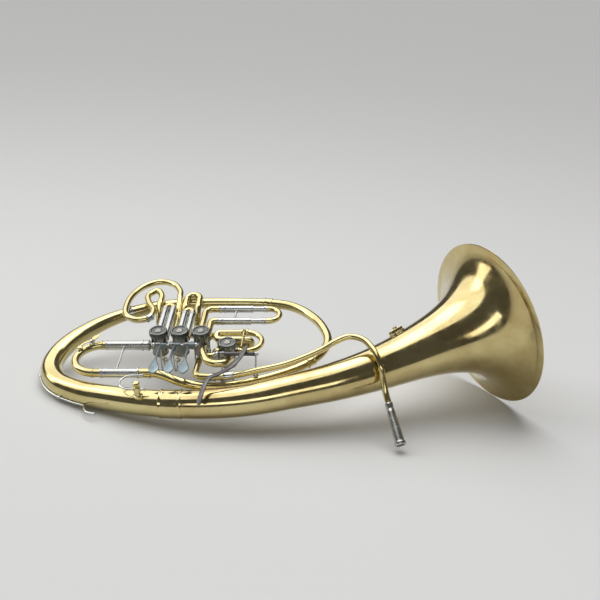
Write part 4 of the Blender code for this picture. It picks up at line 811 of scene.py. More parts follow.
def flange(bm: BMesh, centre: Vector, axis: Vector, radius: float, height: float) -> BMesh:
    """Add the small domed foot of a stay.

    Args:
        bm: Mesh to add to.
        centre: Middle of its foot.
        axis: Direction in which it rises.
        radius: Radius of its foot.
        height: Height of the dome.

    Returns:
        The same mesh.
    """
    profile = [(0, 0), (0, radius), (height * 0.45, radius), (height * 0.8, radius * 0.72),
               (height, radius * 0.4), (height, 0)]
    return turned(bm, centre, axis, rounded(profile, 0.3), 24)


def stay(bm: BMesh, a: Vector, b: Vector, radius: float, foot: float) -> BMesh:
    """Add a stay between two tubes, slightly waisted, with a foot at each end.

    Args:
        bm: Mesh to add to.
        a: First end, on one tube's surface.
        b: Second end, on the other tube's surface.
        radius: Radius of its rod.
        foot: Radius of its feet.

    Returns:
        The same mesh.
    """
    way = (b - a).normalized()
    count = 8
    radii = [radius * (1 + 0.35 * abs(2 * k / count - 1) ** 2) for k in range(count + 1)]
    sweep(bm, straight(a, b, count), radii, 16)
    flange(bm, a, way, foot, 1.8)
    return flange(bm, b, -way, foot, 1.8)


# Branch


@dataclass
class Branch:
    """The conical body: bell, bows and branches with their ferrules, and the guard wire."""

    bell_radius: float = 119.5
    flare: float = 0.58
    shift: float = 20.2
    wall: float = 1.0
    bead: float = 1.7
    bead_height: float = 1.2
    rim_inset: float = 1.15
    rim_length: float = 30.0
    return_diameter: float = 12.4
    bow_diameter: float = 14.0
    top_diameter: float = 18.5
    left_diameter: float = 30.0
    left_middle: float = 0.4
    return_route: tuple = ((-187, -210, 16), (-181, -210.5, 16), (-168, -215, 15), (-145, -225, 12),
                           (-116, -228, 7), (-88, -221, 2), (-53, -208, 0), (-1, -182, 0), (25, -160, 0))
    right_route: tuple = ((25, -160, 0), (41, -136, 0), (47, -108, 0), (36, -70, 0), (14, -38, 0),
                          (-14, -17, 0), (-46, -10, 0))
    top_route: tuple = ((-46, -10, 0), (-104, -8, 0), (-164, -10, 0), (-212, -19, 0), (-251, -36, 0))
    left_route: tuple = ((-251, -36, 0), (-288, -61, -2), (-322, -99, -5.2), (-338, -136, -7.6),
                         (-338, -170, -8.2), (-320, -201, -7.9), (-284, -224.5, -6.4), (-239, -240.5, -3.4),
                         (-196, -252.3, -1), (-153, -258, 0))
    bell_route: tuple = ((-153, -258, 0), (-100, -257, 0), (-49, -248, 0), (5, -229, 0), (62, -206, 0),
                         (120, -174, 0), (197, -119, 0), (274, -63, 0))
    sleeve_length: float = 30.0
    guard_wire: float = 1.5
    guard_span: tuple[float, float] = (0.17, 0.69)
    guard_tilt: float = math.radians(16)
    guard_feet: tuple = (0.02, 0.28, 0.54, 0.80)
    guard_curl: tuple = ((6, 8, 1), (14, 14, 2), (27, 16, 3))
    lines: list = field(default_factory=list)
    ways: list = field(default_factory=list)

    def __post_init__(self) -> None:
        """Cut the whole centre line at its joints."""
        parts = [self.return_route, self.right_route, self.top_route, self.left_route, self.bell_route]
        stations = list(parts[0])
        for part in parts[1:]:
            stations += part[1:]
        fine = spline(stations, 2.0)
        cuts = [0]
        for part in parts:
            end = Vector(part[-1])
            cuts.append(min(range(len(fine)), key=lambda k: (fine[k] - end).length))
        last = len(fine) - 1
        directions = [(fine[min(k + 1, last)] - fine[max(k - 1, 0)]).normalized() for k in cuts]
        directions[0] = X
        self.lines = [fine[a:b + 1] for a, b in zip(cuts, cuts[1:])]
        self.ways = list(zip(directions, directions[1:]))

    def flare_radius(self, distance: float) -> float:
        """Return the radius of the plain flare at a distance back from the mouth.

        Args:
            distance: Distance back from the bell's mouth.

        Returns:
            Radius in mm.
        """
        scale = self.bell_radius * self.shift ** self.flare
        inset = self.rim_inset * max(0.0, 1 - distance / self.rim_length)
        return scale / (distance + self.shift) ** self.flare - inset

    def bell_outer(self, distance: float) -> float:
        """Return the bell's outer radius, with its bead, at a distance back from the mouth.

        Args:
            distance: Distance back from the bell's mouth.

        Returns:
            Radius in mm.
        """
        radius = self.flare_radius(distance)
        if distance < 2 * self.bead:
            radius += self.bead_height * math.sqrt(max(0.0, 1 - (distance / self.bead - 1) ** 2))
        return radius

    def bell_bore(self, distance: float) -> float:
        """Return the bell's inner radius at a distance back from the mouth."""
        return self.flare_radius(distance + self.wall) - self.wall

    def left_radius(self, share: float) -> float:
        """Return the bottom bow's radius at a share of its length.

        Args:
            share: Share of its length, from the top branch.

        Returns:
            Radius in mm.
        """
        start, middle, end = self.top_diameter / 2, self.left_diameter / 2, self.joint_radius()
        if share < self.left_middle:
            return start + (middle - start) * share / self.left_middle
        return middle + (end - middle) * (share - self.left_middle) / (1 - self.left_middle)

    def joint_radius(self) -> float:
        """Return the radius at the joint of the bottom bow and the bell."""
        return self.bell_outer(lengths(self.lines[4])[-1])

    def build(self, bench: Bench) -> None:
        """Make the branch's pieces.

        Args:
            bench: Bench that places them.
        """
        self.build_bell(bench)
        self.build_tubes(bench)
        self.build_ferrules(bench)
        self.build_guard(bench)

    def build_bell(self, bench: Bench) -> None:
        """Make the bell with the wire rolled into its rim.

        Args:
            bench: Bench that places them.
        """
        line = self.lines[4]
        total = lengths(line)[-1]
        plain = total - 2 * self.bead
        rings = 96
        marks = [plain - plain * (1 - k / rings) ** 1.7 for k in range(rings + 1)]
        marks += [total - self.bead * (1 + math.cos(math.pi * k / 10)) for k in range(1, 11)]
        points = [at_length(line, m)[0] for m in marks]
        outer = [self.bell_outer(total - m) for m in marks]
        bore = [self.bell_bore(total - m) for m in marks]
        bm = sweep(bmesh.new(), points, outer, 144, bore, self.ways[4])
        bench.add("bell_shell", bm, BELL_BRASS, stands_for=["bell"])

    def build_tubes(self, bench: Bench) -> None:
        """Make the return tube, both bows and the top branch.

        Args:
            bench: Bench that places them.
        """
        narrow, middle, wide = self.return_diameter / 2, self.bow_diameter / 2, self.top_diameter / 2
        spans = (("return_tube", narrow, narrow), ("right_bow", narrow, middle), ("top_branch", middle, wide))
        step = 4.0
        for (name, start, end), line, ways in zip(spans, self.lines, self.ways):
            points = even(line, step)
            last = len(points) - 1
            radii = [start + (end - start) * k / last for k in range(last + 1)]
            bench.add(f"{name}_drawn", pipe(points, radii, WALL, 48, ways), BRASS, stands_for=[name])
        points = even(self.lines[3], step)
        last = len(points) - 1
        radii = [self.left_radius(k / last) for k in range(last + 1)]
        bm = pipe(points, radii, WALL, 72, self.ways[3])
        bench.add("bottom_bow_drawn", bm, BRASS, stands_for=["bottom_bow"])

    def build_ferrules(self, bench: Bench) -> None:
        """Make the band over each joint of the branch.

        Args:
            bench: Bench that places them.
        """
        back, right, top, left, bell = self.lines
        joint = ferrule(bmesh.new(), top[-1], top[-1] - top[-5], self.top_diameter / 2, 10)
        bench.add("left_joint_ferrule", joint, NICKEL, stands_for=["branch_ferrule"])
        for name, line, radius in (("return_joint_ferrule", back, self.return_diameter / 2),
                                   ("top_joint_ferrule", right, self.bow_diameter / 2)):
            bench.add(name, ferrule(bmesh.new(), line[-1], line[-1] - line[-4], radius, 12, 0.7, 0.5), BRASS)
        points, radii = [], []
        bow_length, bell_length = lengths(left)[-1], lengths(bell)[-1]
        count = 24
        thick, bead = 0.7, {0: 0.5, 1: 0.9, 2: 0.5}
        for k in range(count + 1):
            along = self.sleeve_length * (k / count - 0.5)
            if along < 0:
                points.append(at_length(left, bow_length + along)[0])
                radius = self.left_radius(1 + along / bow_length)
            else:
                points.append(at_length(bell, along)[0])
                radius = self.bell_outer(bell_length - along)
            radii.append(radius + thick + bead.get(min(k, count - k), 0.0))
        bm = sweep(bmesh.new(), points, radii, 72, [r - 1.5 for r in radii], (self.ways[3][1], None))
        bench.add("bell_joint_sleeve", bm, BELL_BRASS, stands_for=["bell_ferrule"])

    def build_guard(self, bench: Bench) -> None:
        """Make the guard wire along the bottom bow, with its free curl and its solder feet.

        Args:
            bench: Bench that places them.
        """
        left = self.lines[3]
        length = lengths(left)[-1]
        first, last = self.guard_span
        count = 60
        points = []
        for k in range(count + 1):
            share = first + (last - first) * k / count
            p, axis = at_length(left, share * length)
            outward = axis.cross(Z).normalized()
            lean = outward * math.cos(self.guard_tilt) - Z * math.sin(self.guard_tilt)
            points.append(p + lean * (self.left_radius(share) + self.guard_wire + 0.5))
        p = points[-1]
        axis = (points[-1] - points[-2]).normalized()
        outward = axis.cross(Z).normalized()
        curl = [p] + [p + axis * along + outward * out + Z * rise for along, out, rise in self.guard_curl]
        points = points[:-1] + spline(curl, 2.0)
        bm = sweep(bmesh.new(), points, self.guard_wire, 16)
        solder = rounded([(-3, 0), (-3, 2.0), (-1.6, 2.5), (1.6, 2.5), (3, 2.0), (3, 0)], 0.4)
        for share in self.guard_feet:
            k = round(share * count)
            turned(bm, points[k], points[k + 1] - points[k - 1], solder, 20)
        tip = rounded([(-2.2, 0), (-2.2, 1.6), (-1, 2.3), (1, 2.3), (2.0, 1.6), (2.4, 0)], 0.4)
        turned(bm, points[-1], axis, tip, 20)
        bench.add("guard_wire_bent", bm, NICKEL, stands_for=["guard_wire"])


# Valves


@dataclass(frozen=True)
class ValvePlace:
    """Axis of a valve in the plane and the height of its casing's underside."""

    index: int
    x: float
    y: float
    floor: float

    def port_height(self) -> float:
        """Return the height of the ports' axes."""
        return self.floor + (18.0 if self.index == 4 else 16.0)


@dataclass
class Valves:
    """The four rotary valves: casings, caps, stop arms and bumpers."""

    pitch: float = 30.0
    first: tuple[float, float] = (-187.0, -138.0)
    fourth: tuple[float, float] = (-88.0, -158.0)
    drop: float = 6.0
    radius: float = 11.6
    height: float = 34.0
    port_diameter: float = 10.0
    port_offset: float = 5.6
    stub: float = 3.0
    slide_ends: tuple[float, float] = (-36.0, -48.0)
    arm_radius: float = 7.0
    thumb_arm_radius: float = 6.0
    link_z: float = -9.0
    thumb_link_z: float = -15.0
    hinge_y: float = -163.0
    hinge_z: float = 30.0
    thumb_hinge: tuple[float, float, float] = (-72.0, -186.0, 31.0)
    lug_radius: float = 3.4
    branch_rise: float = 6.2

    def place(self, index: int) -> ValvePlace:
        """Return where a valve stands.

        Args:
            index: Number of the valve.

        Returns:
            The valve's place.
        """
        if index == 4:
            return ValvePlace(4, *self.fourth, -self.drop)
        return ValvePlace(index, self.first[0] + self.pitch * (index - 1), self.first[1], 0.0)

    def arm(self, index: int) -> float:
        """Return the distance of a stop arm's pin from the valve's axis."""
        return self.thumb_arm_radius if index == 4 else self.arm_radius

    def edge(self) -> float:
        """Return the distance from a valve's axis to where a port leaves the casing."""
        return math.sqrt(self.radius ** 2 - self.port_offset ** 2)

    def ports(self, index: int) -> list[tuple[float, float, float, float, float]]:
        """Return each port of a valve as its offset, its direction and its reach.

        Args:
            index: Number of the valve.

        Returns:
            For each port its offset from the axis, its direction and its reach.
        """
        o = self.port_offset
        knuckle = self.pitch - 2 * self.edge() - self.stub
        rear = [(-o, 0, 0, 1, self.stub), (o, 0, 0, 1, self.stub)]
        if index in (1, 2):
            return [(0, -o, -1, 0, self.stub), (0, -o, 1, 0, knuckle)] + rear
        if index == 3:
            return [(0, -o, -1, 0, self.stub), (o, 0, 0, -1, self.stub)] + rear
        return [(0, -o, -1, 0, self.stub), (o, 0, 0, -1, self.stub),
                (0, o, -1, 0, self.stub), (0, o, 1, 0, self.stub)]

    def build(self, bench: Bench) -> None:
        """Make the pieces of all four valves.

        Args:
            bench: Bench that places them.
        """
        for index in (1, 2, 3, 4):
            place = self.place(index)
            self.build_casing(bench, place)
            self.build_cap(bench, place)
            self.build_stop(bench, place)

    def build_casing(self, bench: Bench, at: ValvePlace) -> None:
        """Make a casing with its port stubs, its sleeves at the back and its hinge lug.

        Args:
            bench: Bench that places them.
            at: Where the valve stands.
        """
        r, h = self.radius, self.height
        centre = (at.x, at.y, at.floor)
        profile = [(0, 0), (0, r - 0.6), (1.2, r), (2.6, r), (3.2, r - 0.5), (h - 5.6, r - 0.5), (h - 5.0, r),
                   (h - 3.0, r), (h - 3.0, r - 2.0), (h - 0.4, r - 2.0), (h - 0.4, 0)]
        bm = turned(bmesh.new(), centre, Z, rounded(profile, 0.4), 64)
        turned(bm, centre, Z, rounded([(-1.1, 0), (-1.1, 5.0), (0.1, 5.6), (0.1, 0)], 0.3), 40)
        port, ring = self.port_diameter / 2, 1.6
        for ox, oy, dx, dy, reach in self.ports(at.index):
            start = Vector((at.x + ox, at.y + oy, at.port_height()))
            way = Vector((dx, dy, 0))
            end = start + way * (self.edge() + reach)
            sweep(bm, [start + way * (self.edge() - 3), end], port, 32)
            washer(bm, end - way * ring, way, 4.2, port + 0.8, ring, 0.4, 32)
        # The casing's darker nickel paints shade and dark reflection.
        bench.add(f"valve_{at.index}_body", bm, SHADED_NICKEL, stands_for=[f"valve_{at.index}_casing"])
        if at.index in (1, 2):
            self.build_rear_sleeves(bench, at)
        self.build_lugs(bench, at)

    def build_rear_sleeves(self, bench: Bench, at: ValvePlace) -> None:
        """Make the nickel sleeves behind valves 1 and 2.

        Args:
            bench: Bench that places them.
            at: Where the valve stands.
        """
        stop = self.slide_ends[at.index - 1] - self.port_offset - 4.2 - 6.0
        start = at.y + self.edge() + self.stub - 1.0
        bm = bmesh.new()
        ring = rounded([(0, 4.4), (0, 5.7), (2.4, 5.7), (2.8, 5.2), (2.8, 4.4)], 0.4)
        for side in (-1, 1):
            x = at.x + side * self.port_offset
            end = Vector((x, stop, at.port_height()))
            sweep(bm, [Vector((x, start, at.port_height())), end], 5.2, 32, [4.3, 4.3])
            turned(bm, end, -Y, ring, 32)
        bench.add(f"valve_{at.index}_rear_sleeves", bm, NICKEL)

    def build_lugs(self, bench: Bench, at: ValvePlace) -> None:
        """Make the lugs that carry the lever rods, where a casing has one.

        Args:
            bench: Bench that places them.
            at: Where the valve stands.
        """
        lugs = {1: (-189.6, self.hinge_y, self.hinge_z, at.y - 9.0, 25.0),
                3: (-130.4, self.hinge_y, self.hinge_z, at.y - 9.0, 25.0),
                4: (-98.6, *self.thumb_hinge[1:], at.y - 1.5, 19.0)}
        if at.index not in lugs:
            return
        x, y, z, foot_y, foot_z = lugs[at.index]
        eye, foot = Vector((x, y, z)), Vector((x, foot_y, foot_z))
        count = 6
        line = straight(eye + (foot - eye).normalized() * 2.6, foot, count)
        bm = bar(bmesh.new(), line, [4.6 + 1.6 * (k / count) ** 2 for k in range(count + 1)], 2.3, X)
        washer(bm, eye - X * 1.3, X, 1.6, self.lug_radius, 2.6, 0.35, 32)
        bench.add(f"valve_{at.index}_lug", bm, NICKEL)

    def build_cap(self, bench: Bench, at: ValvePlace) -> None:
        """Make a screwed cap with its knurled edge, dark ring and lighter raised centre, in darkened nickel that
        paints the cap's dark reflection and the glint at its centre.

        Args:
            bench: Bench that places them.
            at: Where the valve stands.
        """
        top = at.floor + self.height
        outer = self.radius + 1.2
        crown = 4.3
        profile = [(-3.2, self.radius + 0.2), (-3.2, outer - 0.3), (-2.6, outer), (crown - 1.2, outer),
                   (crown - 0.2, outer - 0.9), (crown, outer - 1.5), (crown, outer - 2.6),
                   (crown - 1.4, outer - 3.4), (crown - 1.4, 4.6), (crown - 1.4, 0)]
        knurled = (-2.7, crown - 1.1)
        bm = turned(bmesh.new(), (at.x, at.y, top), Z, rounded(profile, 0.35), 120, 0.28, knurled)
        # The cap's darkened nickel paints its dark reflection.
        bench.add(f"valve_{at.index}_cap_knurled", bm, CAP_NICKEL, stands_for=[f"valve_{at.index}_cap"])
        # The ring's near-black colour paints a dark reflection.
        ring = washer(bmesh.new(), (at.x, at.y, top + crown - 1.35), Z, 5.0, outer - 3.5, 0.25, 0.1, 64)
        bench.add(f"valve_{at.index}_cap_ring", ring, DARK_STEEL)
        dome = [(0, 0), (0, 4.9), (0.9, 4.7), (1.5, 3.6), (1.3, 1.4), (0.9, 0.8), (0.9, 0)]
        boss = turned(bmesh.new(), (at.x, at.y, top + crown - 1.45), Z, rounded(dome, 0.3), 48)
        bench.add(f"valve_{at.index}_cap_boss", boss, SHADED_NICKEL)

    def build_stop(self, bench: Bench, at: ValvePlace) -> None:
        """Make a stop arm with its screw, and the two corks in cups that it turns between.

        Args:
            bench: Bench that places them.
            at: Where the valve stands.
        """
        side = 1 if at.index == 1 else -1
        reach = self.arm(at.index)
        angle = -math.pi / 4 if side > 0 else -3 * math.pi / 4
        along = Vector((math.cos(angle), math.sin(angle), 0))
        centre = Vector((at.x, at.y, at.floor - FIT - 1.1))
        widths = [5.0, 7.8, 8.4, 8.2, 7.4, 6.2, 5.4, 4.8, 3.0]
        line = straight(centre - along * 4.0, centre + along * (reach + 1.6), len(widths) - 1)
        bm = bar(bmesh.new(), line, widths, 2.2)
        pin = centre + along * reach
        link_z = self.thumb_link_z if at.index == 4 else self.link_z
        sweep(bm, [pin - Z * 0.6, Vector((pin.x, pin.y, link_z - 2.2))], 1.1, 20)
        head = rounded([(-0.4, 0), (-0.4, 2.2), (0.5, 2.0), (0.5, 0)], 0.3)
        turned(bm, Vector((pin.x, pin.y, link_z - 2.4)), -Z, head, 24)
        screw = rounded([(0, 0), (0, 3.3), (1.3, 3.1), (1.3, 1.4), (0.9, 0.9), (0.9, 0)], 0.3)
        turned(bm, centre - Z, -Z, screw, 32)
        bench.add(f"stop_arm_{at.index}_screwed", bm, BRASS, f"rotor_{at.index}", [f"stop_arm_{at.index}"])
        beyond = math.radians(52)
        cup = rounded([(-0.5, 0), (-0.5, 2.2), (2.4, 2.2), (2.4, 1.7), (0.8, 1.7), (0.8, 0)], 0.25)
        plug = rounded([(0.6, 0), (0.6, 1.65), (2.9, 1.6), (2.9, 0)], 0.3)
        for k, away in enumerate((angle - side * beyond, angle + side * (math.pi / 2 + beyond))):
            spot = (at.x + 7.4 * math.cos(away), at.y + 7.4 * math.sin(away), at.floor)
            holder = turned(bmesh.new(), spot, -Z, cup, 28)
            bench.add(f"valve_{at.index}_bumper_cup_{k + 1}", holder, BRASS)
            bench.add(f"valve_{at.index}_bumper_cork_{k + 1}", turned(bmesh.new(), spot, -Z, plug, 24), CORK)


# Levers


@dataclass
class Levers:
    """Three finger levers, the thumb lever, their rods, springs and links."""

    valves: Valves
    lever_x: tuple[float, float, float] = (-180.0, -160.0, -140.0)
    rod: float = 1.5
    barrel: float = 3.1
    barrel_length: float = 16.0
    length: float = 84.0
    touch_length: float = 34.0
    touch_width: float = 13.0
    stem_width: float = 3.4
    lean: float = 4.5
    arch: float = 13.0
    pin: float = 1.1
    wire: float = 0.42
    thumb_barrel: float = 50.0
    thumb_foot_y: float = -203.0
    thumb_route: tuple = ((-58, -181, 40), (-61, -195, 40), (-68, -217, 40), (-77.5, -232, 39),
                          (-89.5, -242.5, 38), (-100.5, -250, 37), (-104.5, -264, 36), (-106.5, -280, 35),
                          (-107.5, -291, 33.5), (-108.2, -299, 30))
    thumb_width: float = 6.4

    def swing(self, index: int) -> float:
        """Return half the turn of a lever between its stops."""
        return math.asin(self.valves.arm(index) * math.sin(math.pi / 4) / self.drop(index))

    def drop(self, index: int) -> float:
        """Return the length of a lever's lower arm.

        Args:
            index: Number of the valve.

        Returns:
            Length in mm.
        """
        if index == 4:
            return self.valves.thumb_hinge[2] - self.valves.thumb_link_z
        return self.valves.hinge_z - self.valves.link_z

    def pivot(self, index: int) -> Vector:
        """Return the middle of a lever's barrel.

        Args:
            index: Number of the valve.

        Returns:
            Point in mm.
        """
        if index == 4:
            return Vector(self.valves.thumb_hinge)
        return Vector((self.lever_x[index - 1], self.valves.hinge_y, self.valves.hinge_z))

    def arm_end(self, index: int) -> Vector:
        """Return the pin at the lower end of a lever's arm, at rest.

        Args:
            index: Number of the valve.

        Returns:
            Point in mm.
        """
        side = 1 if index == 1 else -1
        x = self.valves.place(index).x + side * self.valves.arm(index) * (1 + math.cos(math.pi / 4)) / 2
        pivot, swing, drop = self.pivot(index), self.swing(index), self.drop(index)
        return Vector((x, pivot.y - drop * math.sin(swing), pivot.z - drop * math.cos(swing)))

    def build(self, bench: Bench) -> None:
        """Make the levers, rods, springs and links.

        Args:
            bench: Bench that places them.
        """
        for index in (1, 2, 3):
            self.build_finger(bench, index)
        self.build_thumb(bench)
        for index in (1, 2, 3, 4):
            self.build_arm(bench, index)
            self.build_link(bench, index)
            self.build_spring(bench, index)
        self.build_rods(bench)

    def barrel_mesh(self, pivot: Vector, half: float) -> BMesh:
        """Return a hinge barrel with a bead at each end.

        Args:
            pivot: Middle of the barrel.
            half: Half of its length.

        Returns:
            The new mesh.
        """
        low, r = self.rod + 0.2, self.barrel
        profile = [(-half, low), (-half, r), (-half + 1.6, r), (-half + 2.0, r - 0.45),
                   (half - 2.0, r - 0.45), (half - 1.6, r), (half, r), (half, low)]
        return turned(bmesh.new(), pivot, X, rounded(profile, 0.35), 36)

    def build_finger(self, bench: Bench, index: int) -> None:
        """Make a finger lever: barrel, curved stem and a domed teardrop touch.

        Args:
            bench: Bench that places them.
            index: Number of the valve.
        """
        pivot = self.pivot(index)
        bm = self.barrel_mesh(pivot, self.barrel_length / 2)
        stem_end = self.length - self.touch_length
        points, widths = [], []
        count, root, tip = 64, self.barrel - 0.8, 0.86
        for k in range(count + 1):
            reach = root + (self.length - root) * k / count
            f = max(0.0, (reach - stem_end) / self.touch_length)
            bulge = max(0.0, math.sin(math.pi * min(1.0, f) ** 2)) ** 0.7 if f > 0 else 0.0
            half = self.stem_width / 2 * (1 - f) + self.touch_width / 2 * bulge
            if f > tip:
                round_off = math.sqrt(max(0.0, 1 - ((f - tip) / (1 - tip)) ** 2))
                half = max(half, 0.36 * self.touch_width * round_off)
            share = reach / self.length
            rise = self.arch * math.sin(math.pi * share * 0.62)
            points.append(pivot + Vector((self.lean * share, -reach, rise)))
            widths.append(2 * max(half, 0.7))
        bar(bm, points, widths, 1.6, crown=0.35)
        # The touches' dark bluish nickel paints their reflection.
        bench.add(f"lever_{index}_spoon", bm, TOUCH_NICKEL, f"lever_{index}", [f"lever_{index}"])

    def build_thumb(self, bench: Bench) -> None:
        """Make the thumb lever: a long flat bar on a post over its barrel.

        Args:
            bench: Bench that places them.
        """
        pivot = self.pivot(4)
        bm = self.barrel_mesh(pivot, self.thumb_barrel / 2)
        line = spline(self.thumb_route, 2.0)
        last = len(line) - 1
        widths = [self.thumb_width * (0.55 + 0.45 * min(1.0, k / 4, (last - k) / 3 + 0.3))
                  for k in range(last + 1)]
        bar(bm, line, widths, 1.8, crown=0.3)
        crossing = min(line, key=lambda p: abs(p.y - pivot.y))
        foot = Vector((crossing.x, pivot.y, pivot.z + self.barrel - 1.0))
        sweep(bm, [foot, Vector((crossing.x, pivot.y, crossing.z - 0.3))], 2.2, 24)
        # The thumb bar's very dark nickel paints it in shade.
        bench.add("thumb_lever_bar", bm, DARK_NICKEL, "lever_4", ["lever_4"])

    def build_arm(self, bench: Bench, index: int) -> None:
        """Make the arm under a lever's barrel and its cross pin.

        Args:
            bench: Bench that places them.
            index: Number of the valve.
        """
        pivot, end = self.pivot(index), self.arm_end(index)
        start = Vector((end.x, pivot.y, pivot.z))
        way = (end - start).normalized()
        count = 10
        line = straight(start + way * 1.9, end + way * 2.2, count)
        bm = bar(bmesh.new(), line, [4.4 - 1.2 * (k / count) for k in range(count + 1)], 1.8, X)
        sweep(bm, [end - X * 1.2, end + X * 3.4], self.pin, 20)
        turned(bm, end + X * 3.5, X, rounded([(0, 0), (0, 2.0), (0.8, 1.7), (0.8, 0)], 0.3), 24)
        bench.add(f"lever_{index}_arm", bm, NICKEL, f"lever_{index}")

    def build_link(self, bench: Bench, index: int) -> None:
        """Make a link with a ball at the lever's arm and an eye at the stop arm.

        Args:
            bench: Bench that places them.
            index: Number of the valve.
        """
        place = self.valves.place(index)
        end = self.arm_end(index)
        far = Vector((end.x, place.y - self.valves.arm(index) * math.sin(math.pi / 4), end.z))
        near = end + X * 2.6
        bm = washer(bmesh.new(), far - Z * 0.8, Z, 3.0, 4.3, 1.6, 0.3, 36)
        washer(bm, near - X, X, 1.3, 2.8, 2.0, 0.5, 32)
        line = bent([near + Y * 2.2, near + Y * 6, far - Y * 8, far - Y * 3.9], 4)
        sweep(bm, line, 0.85, 16)
        bench.add(f"link_{index}_rod", bm, STEEL, f"link_{index}", [f"link_{index}"])

    def build_spring(self, bench: Bench, index: int) -> None:
        """Make the spring wound round a lever's barrel, with its leg.

        Args:
            bench: Bench that places them.
            index: Number of the valve.
        """
        side = self.thumb_barrel / 2 - 3.0 if index == 4 else self.barrel_length / 2 - 2.6
        start = self.pivot(index) - X * side
        radius = self.barrel + 0.5
        bm = helix(bmesh.new(), start, X, radius, 5.6, 6, self.wire)
        leg = start - Z * radius
        sweep(bm, [leg, leg + Vector((0, 5, -2)), leg + Vector((0, 11, -3))], self.wire, 8)
        bench.add(f"lever_{index}_spring", bm, STEEL)

    def build_rods(self, bench: Bench) -> None:
        """Make the two hinge rods with a turned head at each end, and the thumb lever's outer post.

        Args:
            bench: Bench that places them.
        """
        valves = self.valves
        reach = 2.6 + 2 * FIT + 1.5
        left = self.lever_x[0] - self.barrel_length / 2 - reach
        right = self.lever_x[2] + self.barrel_length / 2 + reach
        thumb_x, thumb_y, thumb_z = valves.thumb_hinge
        side = self.thumb_barrel / 2
        head = rounded([(-0.4, 0), (-0.4, 2.3), (0.6, 2.1), (0.6, 0)], 0.3)
        rods = (("lever_rod", left, right, valves.hinge_y, valves.hinge_z),
                ("thumb_rod", thumb_x - side - reach, thumb_x + side + reach, thumb_y, thumb_z))
        for name, x0, x1, y, z in rods:
            bm = sweep(bmesh.new(), [Vector((x0, y, z)), Vector((x1, y, z))], self.rod, 24)
            for x, way in ((x0 + 0.6, -X), (x1 - 0.6, X)):
                turned(bm, (x, y, z), way, head, 28)
            bench.add(f"{name}_turned", bm, STEEL, stands_for=[name])
        self.build_post(bench, Vector((thumb_x + side + 1.6, thumb_y, thumb_z)))

    def build_post(self, bench: Bench, eye: Vector) -> None:
        """Make the post under the outer end of the thumb lever's rod.

        Args:
            bench: Bench that places them.
            eye: Middle of the post's eye.
        """
        low = self.valves.branch_rise + FIT + 1.4
        foot = Vector((eye.x, self.thumb_foot_y, low + 1.6))
        count = 10
        line = straight(eye + (foot - eye).normalized() * 2.6, foot, count)
        bm = bar(bmesh.new(), line, [4.4 + 0.8 * (k / count) for k in range(count + 1)], 2.2, X)
        washer(bm, eye - X * 1.3, X, 1.6, self.valves.lug_radius, 2.6, 0.35, 32)
        flange(bm, Vector((eye.x, self.thumb_foot_y, low)), Z, 4.0, 3.6)
        bench.add("thumb_rod_post", bm, NICKEL, stands_for=["thumb_bracket"])


# Tubes


